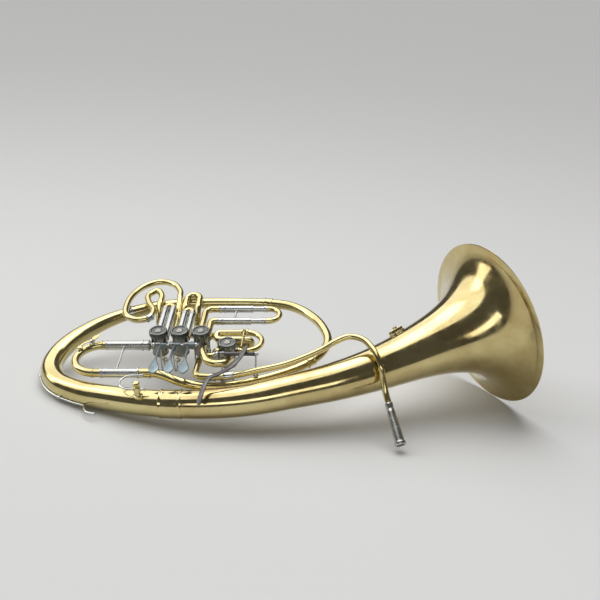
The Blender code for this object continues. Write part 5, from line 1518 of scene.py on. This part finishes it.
@dataclass
class Mouthpipe:
    """The mouthpiece receiver, the pipe over the bell, and the tubes into the fourth valve."""

    branch: Branch
    valves: Valves
    diameter: float = 8.6
    route: tuple = ((-97, -222, 18), (-71, -219, 19), (-42, -212, 22), (-2, -203, 27), (40, -184, 34.5),
                    (62, -171, 41), (81, -164, 44.5), (100, -171, 44), (115.5, -190, 37), (123.5, -206, 25),
                    (126.5, -214, 8), (130.5, -224, -8), (136, -240, -20))
    receiver_length: float = 52.0
    receiver_diameter: float = 14.0
    receiver_bore: float = 10.5
    ferrule_x: float = -80.0
    brace_x: float = -88.0

    def build(self, bench: Bench) -> None:
        """Make the pipe, its receiver and fittings, and the tubes of the fourth valve's inlet.

        Args:
            bench: Bench that places them.
        """
        line = spline(self.route, 3.0)
        bench.add("mouthpipe_drawn", pipe(line, self.diameter / 2, WALL, 36), BRASS, stands_for=["leadpipe"])
        self.build_receiver(bench, line)
        self.build_inlet(bench, line)
        self.build_fittings(bench, line)

    def build_receiver(self, bench: Bench, line: Sequence[Vector]) -> None:
        """Make the turned receiver with its mouth ring.

        Args:
            bench: Bench that places them.
            line: Centre line of the mouthpipe.
        """
        wide, bore = self.receiver_diameter / 2, self.receiver_bore / 2
        r, length = self.diameter / 2, self.receiver_length
        profile = [(-8, r + FIT), (-8, r + 1.2), (-5, r + 1.3), (0, wide - 2.2), (4, wide - 1.6),
                   (length - 6, wide - 0.2), (length - 4.6, wide), (length - 4.2, wide + 0.8),
                   (length - 1.4, wide + 0.8), (length, wide), (length, bore), (14, bore - 1.2),
                   (10, bore - 1.8), (0, bore - 1.8), (0, r + FIT)]
        bm = turned(bmesh.new(), line[-1], line[-1] - line[-3], rounded(profile, 0.5), 64)
        bench.add("receiver_turned", bm, NICKEL, stands_for=["receiver"])

    def build_inlet(self, bench: Bench, line: Sequence[Vector]) -> None:
        """Make the small loop into the fourth valve and the curved tube from the third to the fourth.

        Args:
            bench: Bench that places them.
            line: Centre line of the mouthpipe.
        """
        third, fourth = self.valves.place(3), self.valves.place(4)
        edge, stub, offset = self.valves.edge(), self.valves.stub, self.valves.port_offset
        z3, z4 = third.port_height(), fourth.port_height()
        radius = self.diameter / 2 + 0.3
        lead = bent([line[0], (-126, -220, 18), (-126, fourth.y - offset, z4),
                     (fourth.x - edge - stub, fourth.y - offset, z4)], 11, 8)
        bm = pipe(lead, radius, WALL, 36, ((line[0] - line[1]).normalized(), X))
        bench.add("inlet_loop_drawn", bm, BRASS, stands_for=["lead_loop"])
        bm = bmesh.new()
        for p, way in ((lead[0], lead[1] - lead[0]), (lead[-1], lead[-2] - lead[-1])):
            ferrule(bm, p + way.normalized() * 3.5, way, radius, 8, 0.7, 0.5)
        bench.add("inlet_loop_ferrules", bm, NICKEL)
        x3, x4 = third.x + offset, fourth.x + offset
        low3, low4 = third.y - edge - stub, fourth.y - edge - stub
        curve = spline([(x3, low3, z3), (x3, low3 - 4, z3 + 1.5), (x3, low3 - 11, 24), (-119, -180, 28),
                        (-111, -198, 28), (-99, -205, 28), (-87, -201, 27), (x4, low4 - 12, 20),
                        (x4, low4 - 4, z4 + 1.5), (x4, low4, z4)], 2.5)
        bm = pipe(curve, self.valves.port_diameter / 2, WALL, 36, (-Y, Y))
        bench.add("valve_tube_curved", bm, BRASS, stands_for=["valve_3_to_4_tube"])
        bm = bmesh.new()
        for p, way in ((curve[2], curve[3] - curve[1]), (curve[-3], curve[-2] - curve[-4])):
            ferrule(bm, p, way, self.valves.port_diameter / 2, 7, 0.6, 0.5)
        bench.add("valve_tube_ferrules", bm, NICKEL)

    def build_fittings(self, bench: Bench, line: Sequence[Vector]) -> None:
        """Make the silver collar and the short brace under the pipe.

        Args:
            bench: Bench that places them.
            line: Centre line of the mouthpipe.
        """
        near = min(range(1, len(line) - 1), key=lambda k: abs(line[k].x - self.ferrule_x))
        axis = line[near + 1] - line[near - 1]
        bm = ferrule(bmesh.new(), line[near], axis, self.diameter / 2 + 0.1, 15, 1.3, 0.9)
        bench.add("mouthpipe_collar", bm, NICKEL, stands_for=["mouthpipe_ferrule"])
        back = self.branch.lines[0]
        top = min(line, key=lambda p: abs(p.x - self.brace_x))
        under = min(back, key=lambda p: abs(p.x - self.brace_x))
        y = (top.y + under.y) / 2
        a = Vector((top.x, y, under.z + self.branch.return_diameter / 2 + 0.2))
        b = Vector((top.x, y, top.z - self.diameter / 2 - 0.2))
        bm = stay(bmesh.new(), a, b, 1.4, 3.2)
        bench.add("mouthpipe_brace_turned", bm, NICKEL, stands_for=["mouthpipe_brace"])


@dataclass
class MainSlide:
    """The main tuning slide: sleeves, stay, bow, legs, and the sprung water key."""

    valves: Valves
    lower_y: float = -210.0
    bow_x: float = -265.0
    leg_diameter: float = 11.6
    sleeve_diameter: float = 14.0
    upper_start: float = -263.0
    lower_start: float = -257.0
    stay_x: float = -236.0
    height: float = 16.0
    return_x: float = -187.0
    socket_x: float = -203.0
    pad_angle: float = math.radians(152)
    pivot_angle: float = math.radians(118)
    rise: float = 4.6
    pad_radius: float = 4.0
    nipple: float = 1.8
    wire: float = 0.32

    def upper_y(self) -> float:
        """Return the level of the upper leg, in line with the first valve's port."""
        return self.valves.first[1] - self.valves.port_offset

    def port_end(self) -> float:
        """Return where the first valve's port ends."""
        return self.valves.first[0] - self.valves.edge() - self.valves.stub

    def on_bow(self, angle: float, lift: float = 0.0) -> Vector:
        """Return a point over the bow's centre line.

        Args:
            angle: Angle round the bow.
            lift: Height over the centre line.

        Returns:
            Point in mm.
        """
        radius, middle = (self.upper_y() - self.lower_y) / 2, (self.upper_y() + self.lower_y) / 2
        across, along = radius * math.cos(angle), radius * math.sin(angle)
        return Vector((self.bow_x + across, middle + along, self.height + lift))

    def build(self, bench: Bench) -> None:
        """Make the slide, its sleeves and the water key.

        Args:
            bench: Bench that places them.
        """
        self.build_sleeves(bench)
        self.build_slide(bench)
        self.build_key(bench)

    def build_sleeves(self, bench: Bench) -> None:
        """Make the two outer sleeves with their end rings and the stay between them.

        Args:
            bench: Bench that places them.
        """
        z, upper, lower = self.height, self.upper_y(), self.lower_y
        r = self.sleeve_diameter / 2
        bm = bmesh.new()
        inner = [self.leg_diameter / 2 + FIT] * 2
        mouth = rounded([(0, r - 0.9), (0, r), (2.4, r), (3.0, r - 0.4), (3.0, r - 0.9)], 0.4)
        for y, x0, x1, roots in ((upper, self.upper_start, self.port_end(), (9.6, 1.4)),
                                 (lower, self.lower_start, self.socket_x, (1.4,))):
            sweep(bm, [Vector((x0 + 2, y, z)), Vector((x1, y, z))], r - 0.5, 48, inner)
            turned(bm, (x0, y, z), X, mouth, 48)
            for back in roots:
                washer(bm, (x1 - back - 1.2, y, z), X, 5.4, r + 0.8, 2.4, 0.6, 48)
        x, inset = self.stay_x, r - 0.5
        stay(bm, Vector((x, upper - inset, z)), Vector((x, lower + inset, z)), 1.3, 3.2)
        bench.add("main_slide_sleeves_drawn", bm, NICKEL, stands_for=["main_slide_sleeves"])
        start, end = Vector((self.socket_x + 0.2, lower, z)), Vector((self.return_x - FIT, lower, z))
        bm = sweep(bmesh.new(), [start, end], r - 0.3, 48, inner)
        washer(bm, end - X * 2.4, X, 5.4, r + 0.8, 2.4, 0.6, 48)
        bench.add("return_socket_drawn", bm, BRASS)

    def build_slide(self, bench: Bench) -> None:
        """Make the drawn bow, its two ferrules and the drain's nipple.

        Args:
            bench: Bench that places them.
        """
        z, upper, lower, r = self.height, self.upper_y(), self.lower_y, self.leg_diameter / 2
        radius, centre = (upper - lower) / 2, Vector((self.bow_x, (upper + lower) / 2, z))
        points = [Vector((self.port_end() - 3, upper, z)), Vector((self.bow_x, upper, z)),
                  *half_turn(centre, Y * -radius, X * -radius, 36),
                  Vector((self.bow_x, lower, z)), Vector((self.return_x - 4, lower, z))]
        bench.add("main_slide_bow", pipe(points, r, WALL + 0.1, 48), BRASS, "main_slide", ["main_slide"])
        bm = bmesh.new()
        ring = rounded([(0, r - 0.3), (0, r + 1.0), (1.6, r + 1.0), (2.0, r + 0.4), (2.0, r - 0.3)], 0.4)
        for y in (upper, lower):
            turned(bm, (self.bow_x - 3.2, y, z), X, ring, 48)
        top = r + self.nipple
        nipple = rounded([(r - 1.0, 2.0), (r - 1.0, 4.4), (r + 0.2, 3.2), (top, 2.6), (top, 2.0)], 0.3)
        turned(bm, self.on_bow(self.pad_angle), Z, nipple, 32)
        bench.add("main_slide_rings", bm, BRASS, "main_slide")

    def build_key(self, bench: Bench) -> None:
        """Make the water key: saddle, lever, cup and wound spring.

        Args:
            bench: Bench that places them.
        """
        top = self.leg_diameter / 2
        pad = self.on_bow(self.pad_angle, top + self.nipple + FIT)
        pivot = self.on_bow(self.pivot_angle, top + self.rise)
        flat = Vector((pad.x - pivot.x, pad.y - pivot.y, 0))
        way = flat.normalized()
        axis = Vector((-way.y, way.x, 0))
        bm = sweep(bmesh.new(), [pivot - axis * 4.6, pivot + axis * 4.6], 1.0, 20)
        head = rounded([(0, 0), (0, 1.9), (0.6, 1.7), (0.6, 0)], 0.25)
        for side in (-1, 1):
            centre = pivot + axis * (3.4 * side)
            foot = Vector((centre.x, centre.y, self.height + top + 0.3))
            line = [foot, foot + (centre - foot) * 0.5, centre + Z, centre + Z * 2]
            bar(bm, line, [4.4, 4.0, 3.8, 2.4], 1.2, axis)
            turned(bm, centre + axis * (0.8 * side), axis * side, head, 20)
        base = Vector((pivot.x, pivot.y, self.height + top + 0.9))
        bar(bm, [base - axis * 4.4, base, base + axis * 4.4], [4.6] * 3, 1.2)
        bench.add("water_key_saddle_soldered", bm, NICKEL, "main_slide", ["water_key_saddle"])
        self.build_key_lever(bench, pivot, pad)
        coil = 2.9
        bm = bmesh.new()
        for side in (-1, 1):
            helix(bm, pivot + axis * (side * 2.5 - 0.35), axis, coil, 0.9, 2, self.wire)
        leg = pivot - Z * coil
        sweep(bm, [leg - way * 0.5, leg - way * 6 + Z * 1.6, leg - way * 8 + Z * 4], self.wire, 8)
        bench.add("water_key_spring", bm, STEEL, "main_slide")

    def build_key_lever(self, bench: Bench, pivot: Vector, pad: Vector) -> None:
        """Make the water key's lever with its touch piece, cup and cork.

        Args:
            bench: Bench that places them.
            pivot: Point on the key's axis.
            pad: Middle of the cup's mouth.
        """
        flat = Vector((pad.x - pivot.x, pad.y - pivot.y, 0))
        way = flat.normalized()
        axis = Vector((-way.y, way.x, 0))
        bm = washer(bmesh.new(), pivot - axis * 2.3, axis, 1.2, 2.4, 4.6, 0.3, 32)
        rises = ((13.5, 3.6), (7, 2.6), (1.9, 1.2))
        touch = spline([tuple(pivot - way * back + Z * rise) for back, rise in rises], 1.0)
        last = len(touch) - 1
        bulge = [math.sin(math.pi * (1 - k / last) ** 0.6) ** 0.9 for k in range(last + 1)]
        bar(bm, touch, [3.2 + 4.4 * share for share in bulge], 1.4)
        arm = spline([tuple(pivot + way * 1.9 + Z), tuple(pivot + way * (flat.length * 0.6) + Z * 1.8),
                      tuple(pad + Z * 2.3)], 1.0)
        bar(bm, arm, [3.2] * len(arm), 1.4)
        r = self.pad_radius
        cup = rounded([(0.4, 0), (0.4, r - 0.2), (1.6, r - 0.1), (2.3, r - 1.0), (2.8, 1.6), (2.8, 0)], 0.35)
        bench.add("water_key_lever", turned(bm, pad, Z, cup, 36), BRASS, "water_key", ["water_key"])
        cork = rounded([(0.02, 0), (0.02, r - 0.5), (0.7, r - 0.4), (0.7, 0)], 0.15)
        bench.add("water_key_pad", turned(bmesh.new(), pad, Z, cork, 32), CORK, "water_key")


@dataclass
class ValveSlides:
    """The slides of the four valves with their nickel sleeves, ferrules and stays."""

    valves: Valves
    diameter: float = 8.4
    sleeve: float = 10.8
    bow_gap: float = 6.0
    third_y: tuple[float, float] = (-50.0, -82.0)
    third_x: tuple[float, float, float] = (-112.0, -64.0, -20.0)
    fourth_y: float = -106.0
    fourth_x: tuple[float, float] = (-70.0, -40.0)

    def build(self, bench: Bench) -> None:
        """Make the slides of all four valves.

        Args:
            bench: Bench that places them.
        """
        for index, end in zip((1, 2), self.valves.slide_ends):
            place = self.valves.place(index)
            foot = place.y + self.valves.edge() + self.valves.stub + 2.0
            start = Vector((place.x, foot, place.port_height()))
            self.build_bow(bench, f"slide_{index}", start, Y, X, 2 * self.valves.port_offset,
                           end - self.diameter / 2 - foot)
        self.build_third(bench)
        self.build_fourth(bench)

    def build_bow(self, bench: Bench, name: str, start: Vector, way: Vector, across: Vector, spacing: float,
                  reach: float) -> None:
        """Make a U-shaped slide: nickel legs and a brass bow with its two ferrules.

        Args:
            bench: Bench that places it.
            name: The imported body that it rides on.
            start: Middle between the ends of its legs.
            way: Direction in which it draws out.
            across: Direction from one leg to the other.
            spacing: Distance between the legs.
            reach: Length from the start to the bow's outermost centre line.
        """
        half, r = spacing / 2, self.diameter / 2
        centre = start + way * (reach - half)
        turn = centre - way * self.bow_gap
        legs, rings = bmesh.new(), bmesh.new()
        beads = rounded([(0, 3.8), (0, r + 0.9), (1.2, r + 0.9), (1.7, r + 0.4), (4.4, r + 0.4),
                         (4.8, r + 0.8), (5.6, r + 0.8), (5.6, 3.8)], 0.35)
        for side in (-1, 1):
            shift = across * (half * side)
            sweep(legs, [start + shift, turn + shift], r - 0.1, 32, [r - 0.1 - WALL] * 2)
            turned(rings, turn + shift - way * 1.6, way, beads, 36)
        bow = [turn - across * half, centre - across * half,
               *half_turn(centre, across * half, way * half, 24),
               centre + across * half, turn + across * half]
        bench.add(f"{name}_bow", pipe(bow, r, WALL, 36), BRASS, name, [name])
        # The legs of slides 1 and 2 take the darker nickel, which paints their shade.
        bench.add(f"{name}_legs", legs, SHADED_NICKEL if name in ("slide_1", "slide_2") else NICKEL, name)
        bench.add(f"{name}_rings", rings, NICKEL, name)

    def add_sleeve(self, bm: BMesh, start: Vector, length: float) -> None:
        """Add an outer sleeve along x with a ring at its open end and a ferrule at its root.

        Args:
            bm: Mesh to add to.
            start: Middle of its root.
            length: Length of the sleeve.
        """
        r = self.sleeve / 2
        sweep(bm, [start, start + X * length], r - 0.3, 36, [self.diameter / 2 + FIT] * 2)
        washer(bm, start + X * (length - 2.6), X, r - 0.6, r, 2.6, 0.5, 40)
        for along in (0.0, 7.4):
            washer(bm, start + X * along, X, r - 0.8, r + 0.6, 1.8, 0.5, 40)

    def build_third(self, bench: Bench) -> None:
        """Make the third valve's tubes, sleeves, stay and slide.

        Args:
            bench: Bench that places them.
        """
        place = self.valves.place(3)
        z, offset = place.port_height(), self.valves.port_offset
        foot = place.y + self.valves.edge() + self.valves.stub + FIT
        (high, low), (start, sleeve, end) = self.third_y, self.third_x
        radius = self.valves.port_diameter / 2
        bm, elbows = bmesh.new(), bmesh.new()
        for port, target in ((-offset, high), (offset, low)):
            x = place.x + port
            line = bent([(x, foot, z), (x, target, z), (start + 1, target, z)], 11, 6)
            sweep(elbows, line, radius, 36, [radius - WALL] * len(line))
            self.add_sleeve(bm, Vector((start - 1, target, z)), sleeve - start + 1)
        bench.add("slide_3_elbows", elbows, BRASS)
        x, inset = (start + sleeve) / 2, self.sleeve / 2 - 0.4
        stay(bm, Vector((x, high - inset, z)), Vector((x, low + inset, z)), 1.4, 3.6)
        bench.add("slide_3_sleeves_drawn", bm, NICKEL, stands_for=["slide_3_sleeves"])
        self.build_bow(bench, "slide_3", Vector((start + 3, (high + low) / 2, z)), X, Y, high - low,
                       end - self.diameter / 2 - start - 3)

    def build_fourth(self, bench: Bench) -> None:
        """Make the fourth valve's short sleeves and slide.

        Args:
            bench: Bench that places them.
        """
        place = self.valves.place(4)
        z = place.port_height()
        start = place.x + self.valves.edge() + self.valves.stub + FIT
        low, high = place.y + self.valves.port_offset, self.fourth_y
        sleeve, end = self.fourth_x
        bm = bmesh.new()
        for y in (low, high):
            self.add_sleeve(bm, Vector((start, y, z)), sleeve - start)
        x, over = start + 4, z + self.sleeve / 2 - 0.4
        stay(bm, Vector((x, low + 2, over)), Vector((x, high - 2, over)), 1.2, 2.8)
        bench.add("slide_4_sleeves_drawn", bm, BRASS, stands_for=["slide_4_sleeves"])
        self.build_bow(bench, "slide_4", Vector((start + 1, (high + low) / 2, z)), X, Y, high - low,
                       end - self.diameter / 2 - start - 1)


@dataclass
class FourthLoop:
    """The long loop of the fourth valve with its open coil."""

    valves: Valves
    diameter: float = 9.4
    coil_height: float = 17.0
    under: float = 3.0
    deep: float = -9.0
    slide_y: float = -106.0
    turn: float = 8.5
    plan: tuple = ((-178, -3), (-190, 17), (-211, 25), (-233, 14), (-247, -9), (-252, -38), (-248, -66),
                   (-230, -80), (-213, -74), (-210, -54), (-220, -34), (-224, -14), (-213, 0), (-204, -14))

    def centre_line(self) -> list[Vector]:
        """Return the loop's centre line from the fourth slide round to the fourth casing.

        Returns:
            Points in mm.
        """
        place = self.valves.place(4)
        z, y4 = place.port_height(), place.y + self.valves.port_offset
        start = place.x + self.valves.edge() + self.valves.stub
        stub = place.x - self.valves.edge() - self.valves.stub
        u, y, deep = self.under, self.slide_y, self.deep
        run = [(start, y, z), (-110.5, y, z), (-110.5, y - 13, z - 3), (-60, y - 13, z - 3),
               (-60, y - 13, z - 14), (-106, y - 12, z - 14), (-109, -96, u - 4), (-175, -96, u),
               (-176, -44, u), (-176, -20, self.coil_height)]
        climb = bent(run, self.turn, 8)
        coil = spline([climb[-1]] + [(x, v, self.coil_height) for x, v in self.plan]
                      + [(-203.5, -34, self.coil_height - 1)], 3.0)
        drop = bent([coil[-1], (-203.5, -62, deep), (-166, -62, deep), (-166, -36, 12), (-166, -8, 14),
                     (-147, -8, 14), (-147, -36, 12), (-147, -62, deep), (-147, -84, deep), (-107, -84, deep),
                     (-107, y4, deep), (-107, y4, z), (stub, y4, z)], self.turn, 8)
        return climb[:-1] + coil[:-1] + drop

    def build(self, bench: Bench) -> None:
        """Make the loop and the ferrules along it.

        Args:
            bench: Bench that places them.
        """
        line = self.centre_line()
        radius = self.diameter / 2
        bench.add("fourth_loop_drawn", pipe(line, radius, WALL, 28), BRASS, stands_for=["fourth_valve_loop"])
        bm = bmesh.new()
        for x, y, z in ((-176, -70, self.under), (-213, -74, self.coil_height), (-129, -84, self.deep)):
            spot = Vector((x, y, z))
            k = min(range(1, len(line) - 1), key=lambda j: (line[j] - spot).length)
            ferrule(bm, line[k], line[k + 1] - line[k - 1], radius, 9, 0.6, 0.5)
        bench.add("fourth_loop_ferrules", bm, NICKEL)


@dataclass
class Fittings:
    """The adjustable finger hook with its socket and screw, and the lyre holder on the bell."""

    branch: Branch
    hook_height: float = 27.0
    wire: float = 1.3
    hook_y: float = -262.0
    free_y: float = -231.0
    socket_x: float = -195.5
    legs: tuple[float, float] = (8.0, 11.0)
    free_end: float = 3.0
    socket_radius: float = 4.4
    screw_radius: float = 4.6
    holder_back: float = 143.0
    holder_turn: float = math.radians(42)
    holder_spread: float = math.radians(15)

    def crown(self) -> float:
        """Return the height of the bottom bow under the socket.

        Returns:
            Height in mm.
        """
        left = self.branch.lines[3]
        total = lengths(left)[-1]
        highest = 0.0
        for y in (-6.6, -3.3, 0.0, 3.3, 6.6):
            away = [math.hypot(p.x - self.socket_x, p.y - self.hook_y - y) for p in left]
            k = min(range(len(left)), key=lambda j: away[j])
            radius = self.branch.left_radius(lengths(left[:k + 1])[-1] / total)
            highest = max(highest, left[k].z + math.sqrt(max(0.0, radius ** 2 - away[k] ** 2)))
        return highest

    def build(self, bench: Bench) -> None:
        """Make the hook's pieces and the holder.

        Args:
            bench: Bench that places them.
        """
        self.build_socket(bench)
        self.build_hook(bench)
        self.build_holder(bench)

    def build_socket(self, bench: Bench) -> None:
        """Make the socket's post with its flange, and the knurled screw on top.

        Args:
            bench: Bench that places them.
        """
        crown = self.crown()
        h, r, s = self.hook_height - crown, self.socket_radius, self.screw_radius
        profile = [(-1.2, 0), (-1.2, r + 2.2), (0.8, r + 2.2), (1.8, r + 0.4), (3.0, r - 0.6),
                   (h - 4.6, r - 0.6), (h - 4.0, r), (h + 3.0, r), (h + 4.0, r - 1.0), (h + 4.0, 0)]
        centre = Vector((self.socket_x, self.hook_y, crown))
        bm = turned(bmesh.new(), centre, Z, rounded(profile, 0.5), 48)
        collar = rounded([(0, 1.5), (0, 2.9), (1.6, 2.7), (1.6, 1.5)], 0.3)
        for way in (-X, X):
            turned(bm, centre + Z * h + way * (r - 0.8), way, collar, 32)
        bench.add("hook_post", bm, BRASS, stands_for=["hook_socket"])
        profile = [(0.2, 0), (0.2, 2.0), (1.0, 3.2), (2.0, s - 0.2), (2.4, s), (6.0, s), (6.6, s - 0.6),
                   (7.4, 3.0), (7.1, 0)]
        bm = turned(bmesh.new(), centre + Z * (h + 4), Z, rounded(profile, 0.3), 96, 0.4, (2.3, 6.2))
        bench.add("thumbscrew_knurled", bm, BRASS, "thumbscrew", ["thumbscrew"])

    def build_hook(self, bench: Bench) -> None:
        """Make the bent hook with its small ball end.

        Args:
            bench: Bench that places them.
        """
        z = self.hook_height
        middle, half = (self.hook_y + self.free_y) / 2, (self.free_y - self.hook_y) / 2
        right, turn = self.socket_x + self.legs[0], self.socket_x - self.legs[1]
        line = [Vector((right, self.hook_y, z)), Vector((turn, self.hook_y, z)),
                *half_turn(Vector((turn, middle, z)), Y * half, X * -half, 24),
                Vector((turn, self.free_y, z)), Vector((self.socket_x, self.free_y, z)),
                Vector((self.socket_x + self.free_end, self.free_y, z + 0.5))]
        radii = [self.wire] * (len(line) - 2) + [self.wire + 0.2, self.wire + 0.7]
        bm = sweep(bmesh.new(), line, radii, 20)
        ball = rounded([(0.3, 0), (0.3, 1.7), (1.4, 2.0), (2.4, 1.3), (2.6, 0)], 0.3)
        turned(bm, line[0], X, ball, 20)
        bench.add("finger_hook_bent", bm, NICKEL, "finger_hook", ["finger_hook"])

    def build_holder(self, bench: Bench) -> None:
        """Make the lyre holder: two saddle bars and the square socket between them.

        Args:
            bench: Bench that places them.
        """
        bell = self.branch.lines[4]
        total = lengths(bell)[-1]
        centre, way = at_length(bell, total - self.holder_back)
        side = Vector((-way.y, way.x, 0))
        bm = bmesh.new()
        normal = side * math.sin(self.holder_turn) + Z * math.cos(self.holder_turn)
        count = 12
        for along in (-7.0, 7.0):
            radius = self.branch.bell_outer(self.holder_back - along) + FIT + 1.1
            line = []
            for k in range(count + 1):
                turn = self.holder_turn + self.holder_spread * (2 * k / count - 1)
                line.append(centre + way * along + (side * math.sin(turn) + Z * math.cos(turn)) * radius)
            widths = [3.4 - 1.2 * abs(2 * k / count - 1) ** 6 for k in range(count + 1)]
            bar(bm, line, widths, 1.8, normal, 0.2)
        seat = [centre + way * along + normal * (self.branch.bell_outer(self.holder_back - along) + FIT + 3.4)
                for along in (-10.0, 10.0)]
        lean = (seat[1] - seat[0]).normalized()
        across = lean.cross(normal).normalized()
        for shift in (across * 2.5, across * -2.5):
            bar(bm, [p + shift for p in seat], [1.4] * 2, 4.6, normal)
        for lift in (normal * 1.7, normal * -1.7):
            bar(bm, [p + lift for p in seat], [6.2] * 2, 1.2, normal)
        screw = rounded([(0, 0), (0, 2.4), (0.8, 2.4), (0.8, 3.2), (3.0, 3.2), (3.4, 2.6), (3.4, 0)], 0.3)
        turned(bm, seat[0] + lean * 10 + normal * 2.1, normal, screw, 32)
        bench.add("lyre_holder_soldered", bm, BRASS, stands_for=["lyre_holder"])


# Studio


@dataclass
class Studio:
    """Plain pale floor, soft daylight lamps and the camera at the photo's angle."""

    bench: Bench
    azimuth: float = math.radians(4.0)
    tilt: float = math.radians(2.7)
    elevation: float = math.radians(32.3)
    distance: float = 1.862
    lens: float = 75.0
    floor_colour: tuple[float, float, float] = (0.70, 0.70, 0.69)
    world_level: float = 0.09
    sun_level: float = 2.15
    sun_angle: float = math.radians(85)
    floor_half: float = 6.0

    def to_world(self, v: Vector) -> Vector:
        """Turn a camera-frame direction, which leans by the tilt, into the world's."""
        c, s = math.cos(self.tilt), math.sin(self.tilt)
        return self.bench.plane.to_3x3() @ Vector((v.x * c + v.z * s, v.y, -v.x * s + v.z * c))

    def axes(self) -> tuple[Vector, Vector, Vector]:
        """Return the camera's right, up and forward directions in the world.

        Returns:
            The three directions.
        """
        a, e = self.azimuth, self.elevation
        forward = Vector((-math.sin(a) * math.cos(e), math.cos(a) * math.cos(e), -math.sin(e)))
        right = Vector((math.cos(a), math.sin(a), 0))
        up = right.cross(forward)
        return self.to_world(right), self.to_world(up), self.to_world(forward)

    def build(self) -> None:
        """Set up the floor, the lamps, the world and the camera."""
        self.build_camera()
        self.build_floor()
        self.build_world()
        self.build_lamps()
        bpy.context.scene.view_settings.view_transform = "Standard"

    def build_camera(self) -> None:
        """Aim the camera at the plane's origin."""
        right, up, forward = self.axes()
        data = bpy.data.cameras.new("camera")
        data.lens = self.lens
        data.sensor_width = 36.0
        data.clip_end = 50.0
        camera = shown("camera", data)
        turn = Matrix((right, up, -forward)).transposed().to_4x4()
        place = self.bench.plane.translation - forward * self.distance
        camera.matrix_world = Matrix.Translation(place) @ turn
        bpy.context.scene.camera = camera

    def build_floor(self) -> None:
        """Lay a wide pale floor under the horn."""
        half = self.floor_half
        corners = [(-half, -half, 0), (half, -half, 0), (half, half, 0), (-half, half, 0)]
        mesh = bpy.data.meshes.new("floor")
        mesh.from_pydata(corners, [], [(0, 1, 2, 3)])
        made, tree, shader = new_material("pale_floor")
        spot = node(tree, "ShaderNodeTexCoord").outputs["Object"]
        cloud = node(tree, "ShaderNodeTexNoise", {"Vector": spot, "Scale": 1.5})
        shade = node(tree, "ShaderNodeMix", {"A": (*(c * 0.985 for c in self.floor_colour), 1),
                                             "B": (*self.floor_colour, 1), "Factor": cloud.outputs["Fac"]},
                     data_type="RGBA")
        feed(tree, shader, {"Base Color": shade.outputs["Result"], "Roughness": 0.95})
        mesh.materials.append(made)
        shown("floor", mesh)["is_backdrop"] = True

    def build_world(self) -> None:
        """Light the room evenly."""
        world = bpy.data.worlds.new("soft_room")
        bpy.context.scene.world = world
        world.use_nodes = True
        back = world.node_tree.nodes["Background"]
        back.inputs["Color"].default_value = (1.0, 1.0, 1.0, 1)
        back.inputs["Strength"].default_value = self.world_level

    def build_lamps(self) -> None:
        """Hang a wide sun and three soft boxes."""
        sun = bpy.data.lights.new("window_sun", "SUN")
        sun.energy = self.sun_level
        sun.angle = self.sun_angle
        self.hang(sun, Vector((-1.2, 0.9, 2.6)), Vector((0, 0, 0)))
        for name, power, size, where in (("overhead_box", 8.0, (1.6, 0.9), (0.1, 0.5, 1.7)),
                                         ("left_box", 5.0, (0.5, 1.4), (-1.6, 0.2, 0.9)),
                                         ("front_box", 4.0, (1.6, 0.4), (0.2, -1.6, 0.7))):
            box = bpy.data.lights.new(name, "AREA")
            box.shape = "RECTANGLE"
            box.size, box.size_y = size
            box.energy = power
            self.hang(box, Vector(where), Vector((0, 0, 0.05)))

    def hang(self, data: bpy.types.Light, where: Vector, target: Vector) -> None:
        """Place a lamp and aim it.

        Args:
            data: The lamp's data.
            where: Its place in the world, in metres.
            target: Point it is aimed at, in metres.
        """
        lamp = shown(data.name, data)
        lamp.location = where
        lamp.rotation_mode = "QUATERNION"
        lamp.rotation_quaternion = (target - where).to_track_quat("-Z", "Y")


class PackedPieces:
    """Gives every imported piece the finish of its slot."""

    def dress(self) -> None:
        """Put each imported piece's material on it, by the slot of its node."""
        for name, thing in frame["nodes"].items():
            finish = CAD_FINISH.get(self.slot_of(name), BRASS)
            thing.data.materials.clear()
            thing.data.materials.append(finish.material())

    def slot_of(self, name: str) -> str:
        """Return the record's slot for a node.

        Args:
            name: Name of the node.

        Returns:
            Name of the slot.
        """
        for row in frame["record"].get("subparts", []):
            if row.get("node") == name:
                return row["material_slot"]
        return Slot.BRASS.value


def write_sizes(first: object, last: object) -> None:
    """Turn both measured bounds into plain lists, which are not kept.

    Args:
        first: Bounds after loading.
        last: Bounds before finishing.
    """
    def plain(value: object) -> object:
        """Turn nested vectors into lists."""
        return float(value) if isinstance(value, (int, float)) else [plain(v) for v in value]

    {"after_load": plain(first), "before_finish": plain(last)}


def main() -> None:
    """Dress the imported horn, build its pieces in order and set up the studio."""
    logging.basicConfig(level=logging.INFO, format="%(name)s: %(message)s")
    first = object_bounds()
    bench = Bench()
    PackedPieces().dress()
    branch, valves = Branch(), Valves()
    for part in (branch, valves, Levers(valves), Mouthpipe(branch, valves), MainSlide(valves),
                 ValveSlides(valves), FourthLoop(valves), Fittings(branch)):
        part.build(bench)
        LOG.info("%s built", type(part).__name__)
    Studio(bench).build()
    write_sizes(first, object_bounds())


if __name__ == "__main__":
    main()
